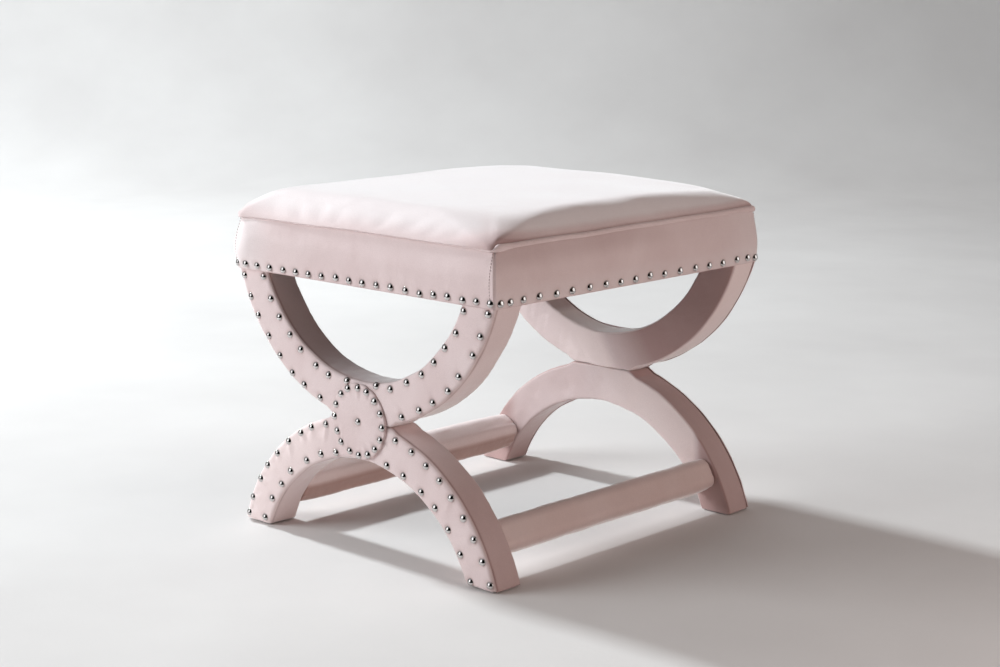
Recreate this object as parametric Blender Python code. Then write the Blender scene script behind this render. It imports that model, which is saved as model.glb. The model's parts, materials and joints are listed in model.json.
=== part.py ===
"""Upholstered X-base ottoman: crowned seat, two arc frames with nailed facings, two padded stretchers.

Metres, +Z up, origin on the floor under the seat's centre. X runs along the face of each arc frame,
Y from the front frame (-Y) to the back frame (+Y).
"""
import math

import bmesh
import bpy
from mathutils import Matrix, Vector

# Seat
SEAT_WIDTH = 0.480          # along X, outside the band at its lower edge
SEAT_DEPTH = 0.522          # along Y, outside the band at its lower edge
SEAT_UNDERSIDE = 0.351      # floor to the lower edge of the band
BAND_HEIGHT = 0.072         # lower edge of the band to the underside of the welt
BAND_PAD = 0.0075           # padded thickness of the band at its lower edge
BAND_TAPER = 0.0045         # the band draws in by this much at the welt
BAND_CORNER = 0.006         # corner radius of the band
WELT_RADIUS = 0.0035        # piping in the top seam
CROWN_RISE = 0.030          # cushion above the welt
TOP_THICKNESS = 0.0025      # top cover with its wadding
RAIL_THICKNESS = 0.018
RAIL_HEIGHT = 0.045
BOARD_THICKNESS = 0.012
DUST_THICKNESS = 0.0012

# Arc frames
CROSSING_HALF_WIDTH = 0.022  # half of the flat where the two arcs meet
ARC_RECESS = 0.003           # arc faces and ends stand back from the band by this much
ARC_WIDTH = 0.052            # radial
ARC_DEPTH = 0.047            # along Y, with facing
FACING_THICKNESS = 0.005
WRAP_THICKNESS = 0.004       # padded cover over timber
SOFT_EDGE = 0.0025           # rounding of padded edges
MEDALLION_RADIUS = 0.050
MEDALLION_PROUD = 0.0045
MEDALLION_WALL = 0.0025
DOWEL_RADIUS = 0.005
DOWEL_SPACING = 0.030
DOWEL_REACH = 0.014          # into each arc from the crossing

# Stretchers
STRETCHER_SIZE = 0.040       # square section over the padding
STRETCHER_HEIGHT = 0.0485    # floor to the centre line

# Nails and hardware
NAIL_RADIUS = 0.0047
NAIL_HEIGHT = 0.0032
NAIL_SINK = 0.0012
NAIL_INSET = 0.0075          # row to the edge of the facing
NAIL_PITCH = 0.0298          # along the arcs
MEDALLION_NAILS = 16
FRONT_BAND_NAILS = 20
SIDE_BAND_NAILS = 19
BAND_NAIL_RISE = 0.0072      # row above the lower edge of the band
BAND_NAIL_END = 0.010        # end nail to the corner
BOLT_RADIUS = 0.004
BOLT_HEAD_RADIUS = 0.0065
BOLT_HEAD_HEIGHT = 0.005
BOLT_GRIP = 0.024            # into the far piece
INSERT_WALL = 0.002
GLIDE_RADIUS = 0.0125
GLIDE_HEIGHT = 0.004
GLIDE_STEM_RADIUS = 0.002
GLIDE_STEM_LENGTH = 0.016

CLEARANCE = 0.0003           # between pieces that touch
ARC_STEPS = 14               # facets per half arc
ROUND_STEPS = 10             # facets per hardware cylinder

# Derived layout
MID = (GLIDE_HEIGHT + SEAT_UNDERSIDE) / 2
HALF = SEAT_UNDERSIDE - MID
END_OUTER = SEAT_WIDTH / 2 - ARC_RECESS
FACE_Y = SEAT_DEPTH / 2 - ARC_RECESS
ARC_CENTRE = (END_OUTER ** 2 + HALF ** 2 - CROSSING_HALF_WIDTH ** 2) / (2 * HALF)
ARC_OUTER = math.hypot(CROSSING_HALF_WIDTH, ARC_CENTRE)
ARC_INNER = ARC_OUTER - ARC_WIDTH
ARC_MEAN = (ARC_OUTER + ARC_INNER) / 2
END_INNER = math.sqrt(ARC_INNER ** 2 - (ARC_CENTRE - HALF) ** 2)
END_CENTRE = (END_OUTER + END_INNER) / 2
CORE_DEPTH = (FACING_THICKNESS + ARC_DEPTH - WRAP_THICKNESS) / 2
SEAM = SEAT_UNDERSIDE + BAND_HEIGHT + WELT_RADIUS
STRETCHER_ANGLE = math.acos((ARC_CENTRE - (MID - STRETCHER_HEIGHT)) / ARC_MEAN)
STRETCHER_X = ARC_MEAN * math.sin(STRETCHER_ANGLE)
FRAME_X = SEAT_WIDTH / 2 - BAND_PAD - CLEARANCE
FRAME_Y = SEAT_DEPTH / 2 - BAND_PAD - CLEARANCE
SIDES = (("front", -1), ("back", 1))
HANDS = (("left", -1), ("right", 1))

MATERIALS = {
    "velvet": ((0.66, 0.50, 0.48), 0.0, 0.85),
    "timber": ((0.55, 0.40, 0.25), 0.0, 0.60),
    "plywood": ((0.62, 0.48, 0.32), 0.0, 0.60),
    "foam": ((0.85, 0.80, 0.60), 0.0, 0.90),
    "nickel": ((0.75, 0.75, 0.76), 1.0, 0.12),
    "steel": ((0.45, 0.45, 0.46), 1.0, 0.35),
    "cambric": ((0.02, 0.02, 0.02), 0.0, 0.90),
    "plastic": ((0.03, 0.03, 0.03), 0.0, 0.50),
}


def clear_scene():
    for item in list(bpy.data.objects):
        bpy.data.objects.remove(item, do_unlink=True)


def material(name):
    found = bpy.data.materials.get(name)
    if found:
        return found
    colour, metallic, roughness = MATERIALS[name]
    made = bpy.data.materials.new(name)
    made.use_nodes = True
    shader = made.node_tree.nodes["Principled BSDF"]
    shader.inputs["Base Color"].default_value = (*colour, 1.0)
    shader.inputs["Metallic"].default_value = metallic
    shader.inputs["Roughness"].default_value = roughness
    return made


def add(name, bm, slot):
    bmesh.ops.recalc_face_normals(bm, faces=bm.faces)
    mesh = bpy.data.meshes.new(name)
    bm.to_mesh(mesh)
    bm.free()
    mesh.materials.append(material(slot))
    item = bpy.data.objects.new(name, mesh)
    bpy.context.scene.collection.objects.link(item)
    return item


def combine(item, tool, operation):
    """Cut or join the tool mesh into the item, and drop the tool."""
    cutter = add(item.name + "_tool", tool, item.data.materials[0].name)
    step = item.modifiers.new("step", "BOOLEAN")
    step.operation = operation
    step.solver = "EXACT"
    step.object = cutter
    graph = bpy.context.evaluated_depsgraph_get()
    result = bpy.data.meshes.new_from_object(item.evaluated_get(graph))
    item.modifiers.clear()
    old = item.data
    item.data = result
    result.name = item.name
    bpy.data.meshes.remove(old)
    bpy.data.objects.remove(cutter, do_unlink=True)
    return item


def stack(bm, rings):
    """Solid from closed rings with the same number of points, capped at both ends."""
    loops = [[bm.verts.new(point) for point in ring] for ring in rings]
    count = len(loops[0])
    for lower, upper in zip(loops, loops[1:]):
        for i in range(count):
            j = (i + 1) % count
            bm.faces.new((lower[i], lower[j], upper[j], upper[i]))
    bm.faces.new(loops[0])
    bm.faces.new(loops[-1])


def solid(rings):
    bm = bmesh.new()
    stack(bm, rings)
    return bm


def box(low, high):
    return solid([[(low[0], low[1], z), (high[0], low[1], z), (high[0], high[1], z), (low[0], high[1], z)]
                  for z in (low[2], high[2])])


def turned(bm, profile, origin, axis, steps=ROUND_STEPS):
    """Rings of (radius, distance) along an axis from an origin; a last radius of zero makes a point."""
    turn = Vector((0, 0, 1)).rotation_difference(Vector(axis)).to_matrix()
    start = Vector(origin)
    pointed = profile[-1][0] == 0
    rings = []
    for radius, distance in profile[:-1] if pointed else profile:
        ring = [(radius * math.cos(math.tau * k / steps), radius * math.sin(math.tau * k / steps), distance)
                for k in range(steps)]
        rings.append([start + turn @ Vector(point) for point in ring])
    loops = [[bm.verts.new(point) for point in ring] for ring in rings]
    for lower, upper in zip(loops, loops[1:]):
        for i in range(steps):
            j = (i + 1) % steps
            bm.faces.new((lower[i], lower[j], upper[j], upper[i]))
    bm.faces.new(loops[0])
    if pointed:
        tip = bm.verts.new(start + turn @ Vector((0, 0, profile[-1][1])))
        for i in range(steps):
            bm.faces.new((loops[-1][i], loops[-1][(i + 1) % steps], tip))
    else:
        bm.faces.new(loops[-1])
    return bm


def rod(bm, radius, start, end, steps=ROUND_STEPS):
    reach = Vector(end) - Vector(start)
    return turned(bm, [(radius, 0), (radius, reach.length)], start, reach.normalized(), steps)


def nail(bm, origin, axis):
    """Low dome whose base is sunk into the panel."""
    turned(bm, [(NAIL_RADIUS * 1.1, -NAIL_SINK), (NAIL_RADIUS * 0.74, NAIL_HEIGHT * 0.66), (0, NAIL_HEIGHT)],
           origin, axis, 6)


def rounded_rectangle(half_x, half_y, radius, z, steps=4):
    ring = []
    for sx, sy, start in ((1, 1, 0), (-1, 1, 90), (-1, -1, 180), (1, -1, 270)):
        for k in range(steps + 1):
            angle = math.radians(start + 90 * k / steps)
            ring.append((sx * (half_x - radius) + radius * math.cos(angle),
                         sy * (half_y - radius) + radius * math.sin(angle), z))
    return ring


# Arc frames: drop is measured from the crossing towards the floor (lower arc) or the seat (upper arc).

def arc_outline(outer, inner, near, far):
    """Points (x, drop) round one arc between the crossing flat and its two ends."""
    far_outer = math.acos((ARC_CENTRE - far) / outer)
    far_inner = math.acos((ARC_CENTRE - far) / inner)
    near_outer = math.acos(min(1.0, (ARC_CENTRE - near) / outer))
    near_outer = max(near_outer, 0.004)
    points = []
    for k in range(ARC_STEPS + 1):
        angle = -far_outer + (far_outer - near_outer) * k / ARC_STEPS
        points.append((outer * math.sin(angle), ARC_CENTRE - outer * math.cos(angle)))
    for x, drop in reversed(points[:]):
        points.append((-x, drop))
    for k in range(2 * ARC_STEPS + 1):
        angle = far_inner - far_inner * k / ARC_STEPS
        points.append((inner * math.sin(angle), ARC_CENTRE - inner * math.cos(angle)))
    return points


def placed(outline, level, side, depth):
    """An outline at a depth behind the frame's outer face."""
    y = side * (FACE_Y - depth)
    return [(x, y, MID + level * drop) for x, drop in outline]


def arc_solid(outer, inner, near, far, level, side, depths, soft=0.0):
    """Annular block; with soft edges the last depth gets a chamfer."""
    full = arc_outline(outer, inner, near, far)
    rings = [placed(full, level, side, depths[0])]
    if soft:
        towards = math.copysign(soft, depths[1] - depths[0])
        small = arc_outline(outer - soft, inner + soft, near + soft, far - soft)
        rings.append(placed(full, level, side, depths[1] - towards))
        rings.append(placed(small, level, side, depths[1]))
    else:
        rings.append(placed(full, level, side, depths[1]))
    return solid(rings)


def along(x, z, side, depth):
    return (x, side * (FACE_Y - depth), z)


def arc_nails(level, side, far):
    """Both rows of one facing; the medallion hides the nails under it."""
    bm = bmesh.new()
    for radius in (ARC_OUTER - NAIL_INSET, ARC_INNER + NAIL_INSET):
        step = NAIL_PITCH / radius
        for k in range(1, 40):
            x = radius * math.sin(step * k)
            drop = ARC_CENTRE - radius * math.cos(step * k)
            if math.hypot(x, drop) < MEDALLION_RADIUS + NAIL_RADIUS * 0.85:
                continue
            if drop > far - NAIL_RADIUS - CLEARANCE:
                break
            for hand in (-1, 1):
                nail(bm, along(hand * x, MID + level * drop, side, 0), (0, side, 0))
    return bm


def build_frame(side_name, side):
    for level_name, level in (("upper", 1), ("lower", -1)):
        far = HALF - CLEARANCE if level > 0 else HALF
        core_far = far if level > 0 else far - WRAP_THICKNESS - CLEARANCE
        name = side_name + "_" + level_name
        core = add(name + "_arc_core",
                   arc_solid(ARC_OUTER - WRAP_THICKNESS - CLEARANCE, ARC_INNER + WRAP_THICKNESS + CLEARANCE,
                             CLEARANCE, core_far, level, side,
                             (FACING_THICKNESS + CLEARANCE, ARC_DEPTH - WRAP_THICKNESS - CLEARANCE)), "timber")
        cover = add(name + "_arc_cover",
                    arc_solid(ARC_OUTER, ARC_INNER, CLEARANCE / 2, far, level, side,
                              (FACING_THICKNESS + CLEARANCE, ARC_DEPTH), SOFT_EDGE), "velvet")
        channel_far = far + 0.02 if level > 0 else far - WRAP_THICKNESS
        combine(cover, arc_solid(ARC_OUTER - WRAP_THICKNESS, ARC_INNER + WRAP_THICKNESS, 0, channel_far,
                                 level, side, (-0.01, ARC_DEPTH - WRAP_THICKNESS)), "DIFFERENCE")
        facing = add(name + "_facing",
                     arc_solid(ARC_OUTER, ARC_INNER, CLEARANCE / 2, far, level, side,
                               (FACING_THICKNESS, 0), SOFT_EDGE), "velvet")
        combine(facing, arc_nails(level, side, far), "UNION")

        holes = bmesh.new()
        for hand in (-1, 1):
            x = hand * DOWEL_SPACING / 2
            rod(holes, DOWEL_RADIUS + CLEARANCE, along(x, MID - level * 0.01, side, CORE_DEPTH),
                along(x, MID + level * (DOWEL_REACH + CLEARANCE), side, CORE_DEPTH))
        for hand in (-1, 1):
            if level > 0:
                x = hand * END_CENTRE
                rod(holes, BOLT_RADIUS + CLEARANCE + INSERT_WALL + CLEARANCE,
                    along(x, SEAT_UNDERSIDE - BOLT_GRIP - CLEARANCE, side, CORE_DEPTH),
                    along(x, SEAT_UNDERSIDE + 0.01, side, CORE_DEPTH))
            else:
                x = hand * STRETCHER_X
                rod(holes, BOLT_RADIUS + CLEARANCE, along(x, STRETCHER_HEIGHT, side, 0.001),
                    along(x, STRETCHER_HEIGHT, side, ARC_DEPTH + 0.01))
                x = hand * END_CENTRE
                rod(holes, GLIDE_STEM_RADIUS + CLEARANCE, along(x, -0.01, side, CORE_DEPTH),
                    along(x, GLIDE_HEIGHT + GLIDE_STEM_LENGTH + CLEARANCE, side, CORE_DEPTH))
        combine(core, holes.copy(), "DIFFERENCE")
        if level < 0:
            sinks = bmesh.new()
            for hand in (-1, 1):
                x = hand * STRETCHER_X
                rod(sinks, BOLT_HEAD_RADIUS + CLEARANCE, along(x, STRETCHER_HEIGHT, side, 0.001),
                    along(x, STRETCHER_HEIGHT, side, FACING_THICKNESS + BOLT_HEAD_HEIGHT + 3 * CLEARANCE))
            combine(core, sinks, "DIFFERENCE")
            combine(cover, holes, "DIFFERENCE")
        else:
            holes.free()
            holes = bmesh.new()
            for hand in (-1, 1):
                x = hand * DOWEL_SPACING / 2
                rod(holes, DOWEL_RADIUS + CLEARANCE, along(x, MID - 0.01, side, CORE_DEPTH),
                    along(x, MID + DOWEL_REACH + CLEARANCE, side, CORE_DEPTH))
            combine(cover, holes, "DIFFERENCE")

    for hand_name, hand in HANDS:
        x = hand * DOWEL_SPACING / 2
        add(side_name + "_crossing_dowel_" + hand_name,
            rod(bmesh.new(), DOWEL_RADIUS, along(x, MID - DOWEL_REACH, side, CORE_DEPTH),
                along(x, MID + DOWEL_REACH, side, CORE_DEPTH)), "timber")
    build_medallion(side_name, side)


def build_medallion(side_name, side):
    centre = along(0, MID, side, 0)
    out = (0, side, 0)
    seat = CLEARANCE
    board_top = seat + MEDALLION_PROUD * 0.5
    inner = MEDALLION_RADIUS - MEDALLION_WALL
    shank = NAIL_RADIUS * 0.25
    board = add(side_name + "_medallion_board",
                turned(bmesh.new(), [(inner - CLEARANCE, seat), (inner - CLEARANCE, board_top)],
                       centre, out, 24), "plywood")
    cover = add(side_name + "_medallion_cover",
                turned(bmesh.new(), [(MEDALLION_RADIUS, seat), (MEDALLION_RADIUS, MEDALLION_PROUD * 0.65),
                                     (MEDALLION_RADIUS - 0.0006, MEDALLION_PROUD * 0.87),
                                     (MEDALLION_RADIUS - 0.0022, MEDALLION_PROUD)], centre, out, 24), "velvet")
    combine(cover, turned(bmesh.new(), [(inner, -0.005), (inner, board_top + CLEARANCE)], centre, out, 24),
            "DIFFERENCE")
    nails = bmesh.new()
    row = MEDALLION_RADIUS - NAIL_RADIUS - 0.0008
    for k in range(MEDALLION_NAILS):
        angle = math.tau * k / MEDALLION_NAILS
        nail(nails, along(row * math.sin(angle), MID + row * math.cos(angle), side, -MEDALLION_PROUD), out)
    combine(cover, nails, "UNION")
    hole = turned(bmesh.new(), [(shank + CLEARANCE, -0.005), (shank + CLEARANCE, 0.02)], centre, out)
    combine(cover, hole.copy(), "DIFFERENCE")
    combine(board, hole, "DIFFERENCE")
    head = MEDALLION_PROUD + CLEARANCE
    add(side_name + "_medallion_nail",
        turned(bmesh.new(), [(shank, seat), (shank, head), (NAIL_RADIUS, head),
                             (NAIL_RADIUS * 0.9, head + NAIL_HEIGHT * 0.4),
                             (NAIL_RADIUS * 0.6, head + NAIL_HEIGHT * 0.8), (0, head + NAIL_HEIGHT)],
               centre, out), "nickel")


# Stretchers run between the frames, turned to follow the lower arcs.

def build_stretchers():
    reach = FACE_Y - ARC_DEPTH - CLEARANCE
    for hand_name, hand in HANDS:
        turn = Matrix.Rotation(hand * STRETCHER_ANGLE, 3, "Y")

        def section(half, radius, y):
            flat = rounded_rectangle(half, half, radius, 0.0, 3) if radius else \
                [(half, half, 0), (-half, half, 0), (-half, -half, 0), (half, -half, 0)]
            return [Vector((hand * STRETCHER_X, y, STRETCHER_HEIGHT)) + turn @ Vector((u, 0, v))
                    for u, v, _ in flat]

        inner = STRETCHER_SIZE / 2 - WRAP_THICKNESS
        cover = add(hand_name + "_stretcher_cover",
                    solid([section(STRETCHER_SIZE / 2, SOFT_EDGE * 2, y) for y in (-reach, reach)]), "velvet")
        combine(cover, solid([section(inner, 0, y) for y in (-1, 1)]), "DIFFERENCE")
        core = add(hand_name + "_stretcher_core",
                   solid([section(inner - CLEARANCE, 0, y) for y in (-reach, reach)]), "timber")
        holes = bmesh.new()
        for side_name, side in SIDES:
            start = FACING_THICKNESS + CLEARANCE * 2
            under = start + BOLT_HEAD_HEIGHT
            x = hand * STRETCHER_X
            rod(holes, BOLT_RADIUS + CLEARANCE, along(x, STRETCHER_HEIGHT, side, ARC_DEPTH - 0.01),
                along(x, STRETCHER_HEIGHT, side, ARC_DEPTH + BOLT_GRIP + CLEARANCE))
            add(side_name + "_stretcher_bolt_" + hand_name,
                turned(bmesh.new(), [(BOLT_HEAD_RADIUS, start), (BOLT_HEAD_RADIUS, under),
                                     (BOLT_RADIUS, under), (BOLT_RADIUS, ARC_DEPTH + BOLT_GRIP)],
                       along(x, STRETCHER_HEIGHT, side, 0), (0, -side, 0)), "steel")
        combine(core, holes, "DIFFERENCE")


# Seat frame: corner posts over the arc ends, rails between them, board on top.

def build_seat_frame():
    low, high = SEAT_UNDERSIDE, SEAT_UNDERSIDE + RAIL_HEIGHT
    post_y = FACE_Y - ARC_DEPTH
    for side_name, side in SIDES:
        rail = sorted((side * FRAME_Y, side * (FRAME_Y - RAIL_THICKNESS)))
        add("seat_rail_" + side_name, box((CLEARANCE - END_INNER, rail[0], low),
                                          (END_INNER - CLEARANCE, rail[1], high)), "timber")
    for hand_name, hand in HANDS:
        rail = sorted((hand * FRAME_X, hand * (FRAME_X - RAIL_THICKNESS)))
        add("seat_rail_" + hand_name, box((rail[0], CLEARANCE - post_y, low),
                                          (rail[1], post_y - CLEARANCE, high)), "timber")
    sink = high - BOLT_HEAD_HEIGHT - 3 * CLEARANCE
    for side_name, side in SIDES:
        for hand_name, hand in HANDS:
            corner = side_name + "_" + hand_name
            xs = sorted((hand * END_INNER, hand * FRAME_X))
            ys = sorted((side * post_y, side * FRAME_Y))
            x, y = hand * END_CENTRE, side * (FACE_Y - CORE_DEPTH)
            post = add("corner_post_" + corner, box((xs[0], ys[0], low), (xs[1], ys[1], high)), "timber")
            bore = turned(bmesh.new(), [(BOLT_RADIUS + CLEARANCE, low - 0.01), (BOLT_RADIUS + CLEARANCE, sink),
                                        (BOLT_HEAD_RADIUS + CLEARANCE, sink),
                                        (BOLT_HEAD_RADIUS + CLEARANCE, high + 0.01)], (x, y, 0), (0, 0, 1))
            combine(post, bore, "DIFFERENCE")
            under = sink + CLEARANCE
            add("arc_bolt_" + corner,
                turned(bmesh.new(), [(BOLT_RADIUS, SEAT_UNDERSIDE - BOLT_GRIP), (BOLT_RADIUS, under),
                                     (BOLT_HEAD_RADIUS, under), (BOLT_HEAD_RADIUS, under + BOLT_HEAD_HEIGHT)],
                       (x, y, 0), (0, 0, 1)), "steel")
            top = SEAT_UNDERSIDE - CLEARANCE
            sleeve = BOLT_RADIUS + CLEARANCE
            insert = add("arc_insert_" + corner,
                         rod(bmesh.new(), sleeve + INSERT_WALL, (x, y, SEAT_UNDERSIDE - BOLT_GRIP), (x, y, top)),
                         "steel")
            combine(insert, rod(bmesh.new(), sleeve, (x, y, 0.2), (x, y, 0.5)), "DIFFERENCE")
            foot = GLIDE_HEIGHT - CLEARANCE
            add("glide_" + corner,
                turned(bmesh.new(), [(GLIDE_RADIUS - 0.001, 0), (GLIDE_RADIUS, 0.001), (GLIDE_RADIUS, foot),
                                     (GLIDE_STEM_RADIUS, foot),
                                     (GLIDE_STEM_RADIUS, GLIDE_HEIGHT + GLIDE_STEM_LENGTH)],
                       (x, y, 0), (0, 0, 1), 16), "plastic")
    add("seat_board", box((-FRAME_X, -FRAME_Y, high + CLEARANCE),
                          (FRAME_X, FRAME_Y, high + BOARD_THICKNESS)), "plywood")
    edge = BAND_PAD + 0.004
    wide, deep = SEAT_WIDTH / 2 - edge, SEAT_DEPTH / 2 - edge
    notch_x, notch_y = END_INNER - 0.003, post_y - 0.003
    plan = [(wide, -notch_y), (wide, notch_y), (notch_x, notch_y), (notch_x, deep), (-notch_x, deep),
            (-notch_x, notch_y), (-wide, notch_y), (-wide, -notch_y), (-notch_x, -notch_y), (-notch_x, -deep),
            (notch_x, -deep), (notch_x, -notch_y)]
    under = SEAT_UNDERSIDE - CLEARANCE
    add("dust_cover", solid([[(x, y, z) for x, y in plan] for z in (under - DUST_THICKNESS, under)]), "cambric")


# Upholstery of the seat.

def band_ring(half_length, half_across, inset, z):
    """Plan outline of one band panel at one height: along is X, out is -Y, ends mitred at the corners."""
    gap = CLEARANCE * 0.75
    corner = half_length - inset - BAND_CORNER
    out = half_across - inset - BAND_CORNER
    end = []
    for angle in (45, 62, 78, 90):
        turn = math.radians(angle)
        end.append((corner + BAND_CORNER * math.cos(turn), out + BAND_CORNER * math.sin(turn)))
    end[0] = (end[0][0] - gap, end[0][1])
    inner = (half_length - BAND_PAD - gap, half_across - BAND_PAD)
    right = [inner] + end
    left = [(-u, n) for u, n in reversed(right)]
    return [(u, -n, z) for u, n in right + left]


def build_band():
    top = SEAT_UNDERSIDE + BAND_HEIGHT - CLEARANCE
    levels = [(0.0, 0.0015), (0.03, 0.0)]
    levels += [(t, BAND_TAPER * t ** 1.8) for t in (0.35, 0.7, 0.96)]
    levels += [(1.0, BAND_TAPER + 0.0008)]
    for name, quarter in (("front", 0), ("right", 1), ("back", 2), ("left", 3)):
        across_x = quarter % 2 == 0
        half_length = (SEAT_WIDTH if across_x else SEAT_DEPTH) / 2
        half_across = (SEAT_DEPTH if across_x else SEAT_WIDTH) / 2
        turn = Matrix.Rotation(quarter * math.pi / 2, 3, "Z")
        rings = []
        for t, inset in levels:
            ring = band_ring(half_length, half_across, inset, SEAT_UNDERSIDE + t * (top - SEAT_UNDERSIDE))
            rings.append([turn @ Vector(point) for point in ring])
        panel = add("band_" + name, solid(rings), "velvet")
        nails = bmesh.new()
        count = FRONT_BAND_NAILS if across_x else SIDE_BAND_NAILS
        first = half_length - BAND_NAIL_END
        for k in range(count):
            u = -first + 2 * first * k / (count - 1)
            sag = BAND_TAPER * (BAND_NAIL_RISE / BAND_HEIGHT) ** 1.8
            nail(nails, turn @ Vector((u, sag - half_across, SEAT_UNDERSIDE + BAND_NAIL_RISE)),
                 turn @ Vector((0, -1, 0)))
        combine(panel, nails, "UNION")


# Crown of the cushion: (share of the rise, inset from the rim in metres).
CROWN = ((0.0, 0.0), (0.20, 0.0015), (0.38, 0.005), (0.54, 0.011), (0.68, 0.020), (0.81, 0.036),
         (0.90, 0.060), (0.96, 0.095), (1.0, 0.150))


def crown_rings(inset, drop, low):
    rings = []
    for share, step in CROWN:
        edge = inset + step
        rings.append(rounded_rectangle(SEAT_WIDTH / 2 - edge, SEAT_DEPTH / 2 - edge, 0.014 + step * 0.4,
                                       max(low, SEAM + WELT_RADIUS + CLEARANCE + share * CROWN_RISE - drop), 5))
    return rings


def build_cushion():
    rim = SEAM + WELT_RADIUS + CLEARANCE
    outer = BAND_TAPER + 0.001
    cover = add("seat_top_cover", solid(crown_rings(outer, 0.0, rim)), "velvet")
    hollow = crown_rings(outer + TOP_THICKNESS, TOP_THICKNESS, rim - 0.01)
    hollow[0] = [(x, y, rim - 0.01) for x, y, _ in hollow[0]]
    combine(cover, solid(hollow), "DIFFERENCE")

    deck = SEAT_UNDERSIDE + RAIL_HEIGHT + BOARD_THICKNESS + CLEARANCE
    welt_inset = BAND_TAPER - 0.002 + WELT_RADIUS
    foam_inset = max(welt_inset + WELT_RADIUS + CLEARANCE, outer + TOP_THICKNESS + CLEARANCE)
    body = crown_rings(foam_inset, TOP_THICKNESS + 2 * CLEARANCE, deck)
    body[0] = [(x, y, deck) for x, y, _ in body[0]]
    add("seat_foam", solid(body), "foam")

    path = rounded_rectangle(SEAT_WIDTH / 2 - welt_inset, SEAT_DEPTH / 2 - welt_inset, 0.012, SEAM, 6)
    welt = bmesh.new()
    loops = []
    count = len(path)
    for i, point in enumerate(path):
        here = Vector(point)
        ahead = (Vector(path[(i + 1) % count]) - here).normalized()
        behind = (here - Vector(path[i - 1])).normalized()
        forward = (ahead + behind).normalized()
        side = forward.cross(Vector((0, 0, 1)))
        stretch = 1 / max(0.5, forward.dot(ahead))
        loops.append([welt.verts.new(here + WELT_RADIUS * (side * stretch * math.cos(math.tau * k / 8)
                                                           + Vector((0, 0, 1)) * math.sin(math.tau * k / 8)))
                      for k in range(8)])
    for i in range(count):
        for k in range(8):
            welt.faces.new((loops[i][k], loops[i][(k + 1) % 8],
                            loops[(i + 1) % count][(k + 1) % 8], loops[(i + 1) % count][k]))
    add("seat_welt", welt, "velvet")


def main():
    clear_scene()
    build_seat_frame()
    build_cushion()
    build_band()
    for side_name, side in SIDES:
        build_frame(side_name, side)
    build_stretchers()


main()
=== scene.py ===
"""Looks of the upholstered X-base ottoman: blush velvet over padded frames, with nickel nail trim.

Metres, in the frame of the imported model: X along the face of each arc frame, Y from the front frame to
the back one, +Z up.
"""
import json
import math

import bmesh
import bpy
import numpy as np
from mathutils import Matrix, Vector


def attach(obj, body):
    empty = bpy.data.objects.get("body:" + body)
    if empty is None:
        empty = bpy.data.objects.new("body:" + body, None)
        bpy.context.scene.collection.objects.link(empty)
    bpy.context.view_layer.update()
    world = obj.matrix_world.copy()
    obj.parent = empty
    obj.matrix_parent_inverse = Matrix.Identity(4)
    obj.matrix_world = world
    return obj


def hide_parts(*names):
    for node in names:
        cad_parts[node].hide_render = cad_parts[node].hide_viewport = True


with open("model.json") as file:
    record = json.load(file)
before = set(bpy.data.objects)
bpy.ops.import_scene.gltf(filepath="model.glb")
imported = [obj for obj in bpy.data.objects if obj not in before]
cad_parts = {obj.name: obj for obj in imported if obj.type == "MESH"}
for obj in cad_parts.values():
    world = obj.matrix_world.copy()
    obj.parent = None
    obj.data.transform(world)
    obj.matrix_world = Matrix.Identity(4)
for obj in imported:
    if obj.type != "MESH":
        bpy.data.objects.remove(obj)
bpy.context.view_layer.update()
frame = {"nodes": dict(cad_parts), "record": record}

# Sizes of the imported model
SEAT_WIDTH = 0.480
SEAT_DEPTH = 0.522
SEAT_UNDERSIDE = 0.351
BAND_HEIGHT = 0.072
BAND_PAD = 0.0075
BAND_TAPER = 0.0045
WELT_RADIUS = 0.0035
CROWN_RISE = 0.030
RAIL_HEIGHT = 0.045
BOARD_THICKNESS = 0.012
ARC_WIDTH = 0.052
ARC_DEPTH = 0.047
FACING_THICKNESS = 0.005
WRAP_THICKNESS = 0.004
MEDALLION_RADIUS = 0.050
MEDALLION_PROUD = 0.0045
STRETCHER_SIZE = 0.040
STRETCHER_HEIGHT = 0.0485
NAIL_RADIUS = 0.0051
NAIL_HEIGHT = 0.0032
NAIL_INSET = 0.0075
GLIDE_HEIGHT = 0.004
CLEARANCE = 0.0003
EDGE_INSET = 0.003                  # the arc frames stand this far inside the seat
CROSSING_HALF = 0.022               # half of the flat on which two arcs meet
MID = (GLIDE_HEIGHT + SEAT_UNDERSIDE) / 2
HALF = SEAT_UNDERSIDE - MID
END_OUTER = SEAT_WIDTH / 2 - EDGE_INSET
FACE_Y = SEAT_DEPTH / 2 - EDGE_INSET
ARC_CENTRE = (END_OUTER ** 2 + HALF ** 2 - CROSSING_HALF ** 2) / (2 * HALF)
ARC_OUTER = math.hypot(CROSSING_HALF, ARC_CENTRE)
ARC_INNER = ARC_OUTER - ARC_WIDTH
ARC_MEAN = (ARC_OUTER + ARC_INNER) / 2
END_INNER = math.sqrt(ARC_INNER ** 2 - (ARC_CENTRE - HALF) ** 2)
END_CENTRE = (END_OUTER + END_INNER) / 2
SEAM = SEAT_UNDERSIDE + BAND_HEIGHT + WELT_RADIUS
STRETCHER_ANGLE = math.acos((ARC_CENTRE - (MID - STRETCHER_HEIGHT)) / ARC_MEAN)
STRETCHER_X = ARC_MEAN * math.sin(STRETCHER_ANGLE)
SIDES = (("front", -1), ("back", 1))
LEVELS = (("upper", 1), ("lower", -1))
HANDS = (("left", -1), ("right", 1))

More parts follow.
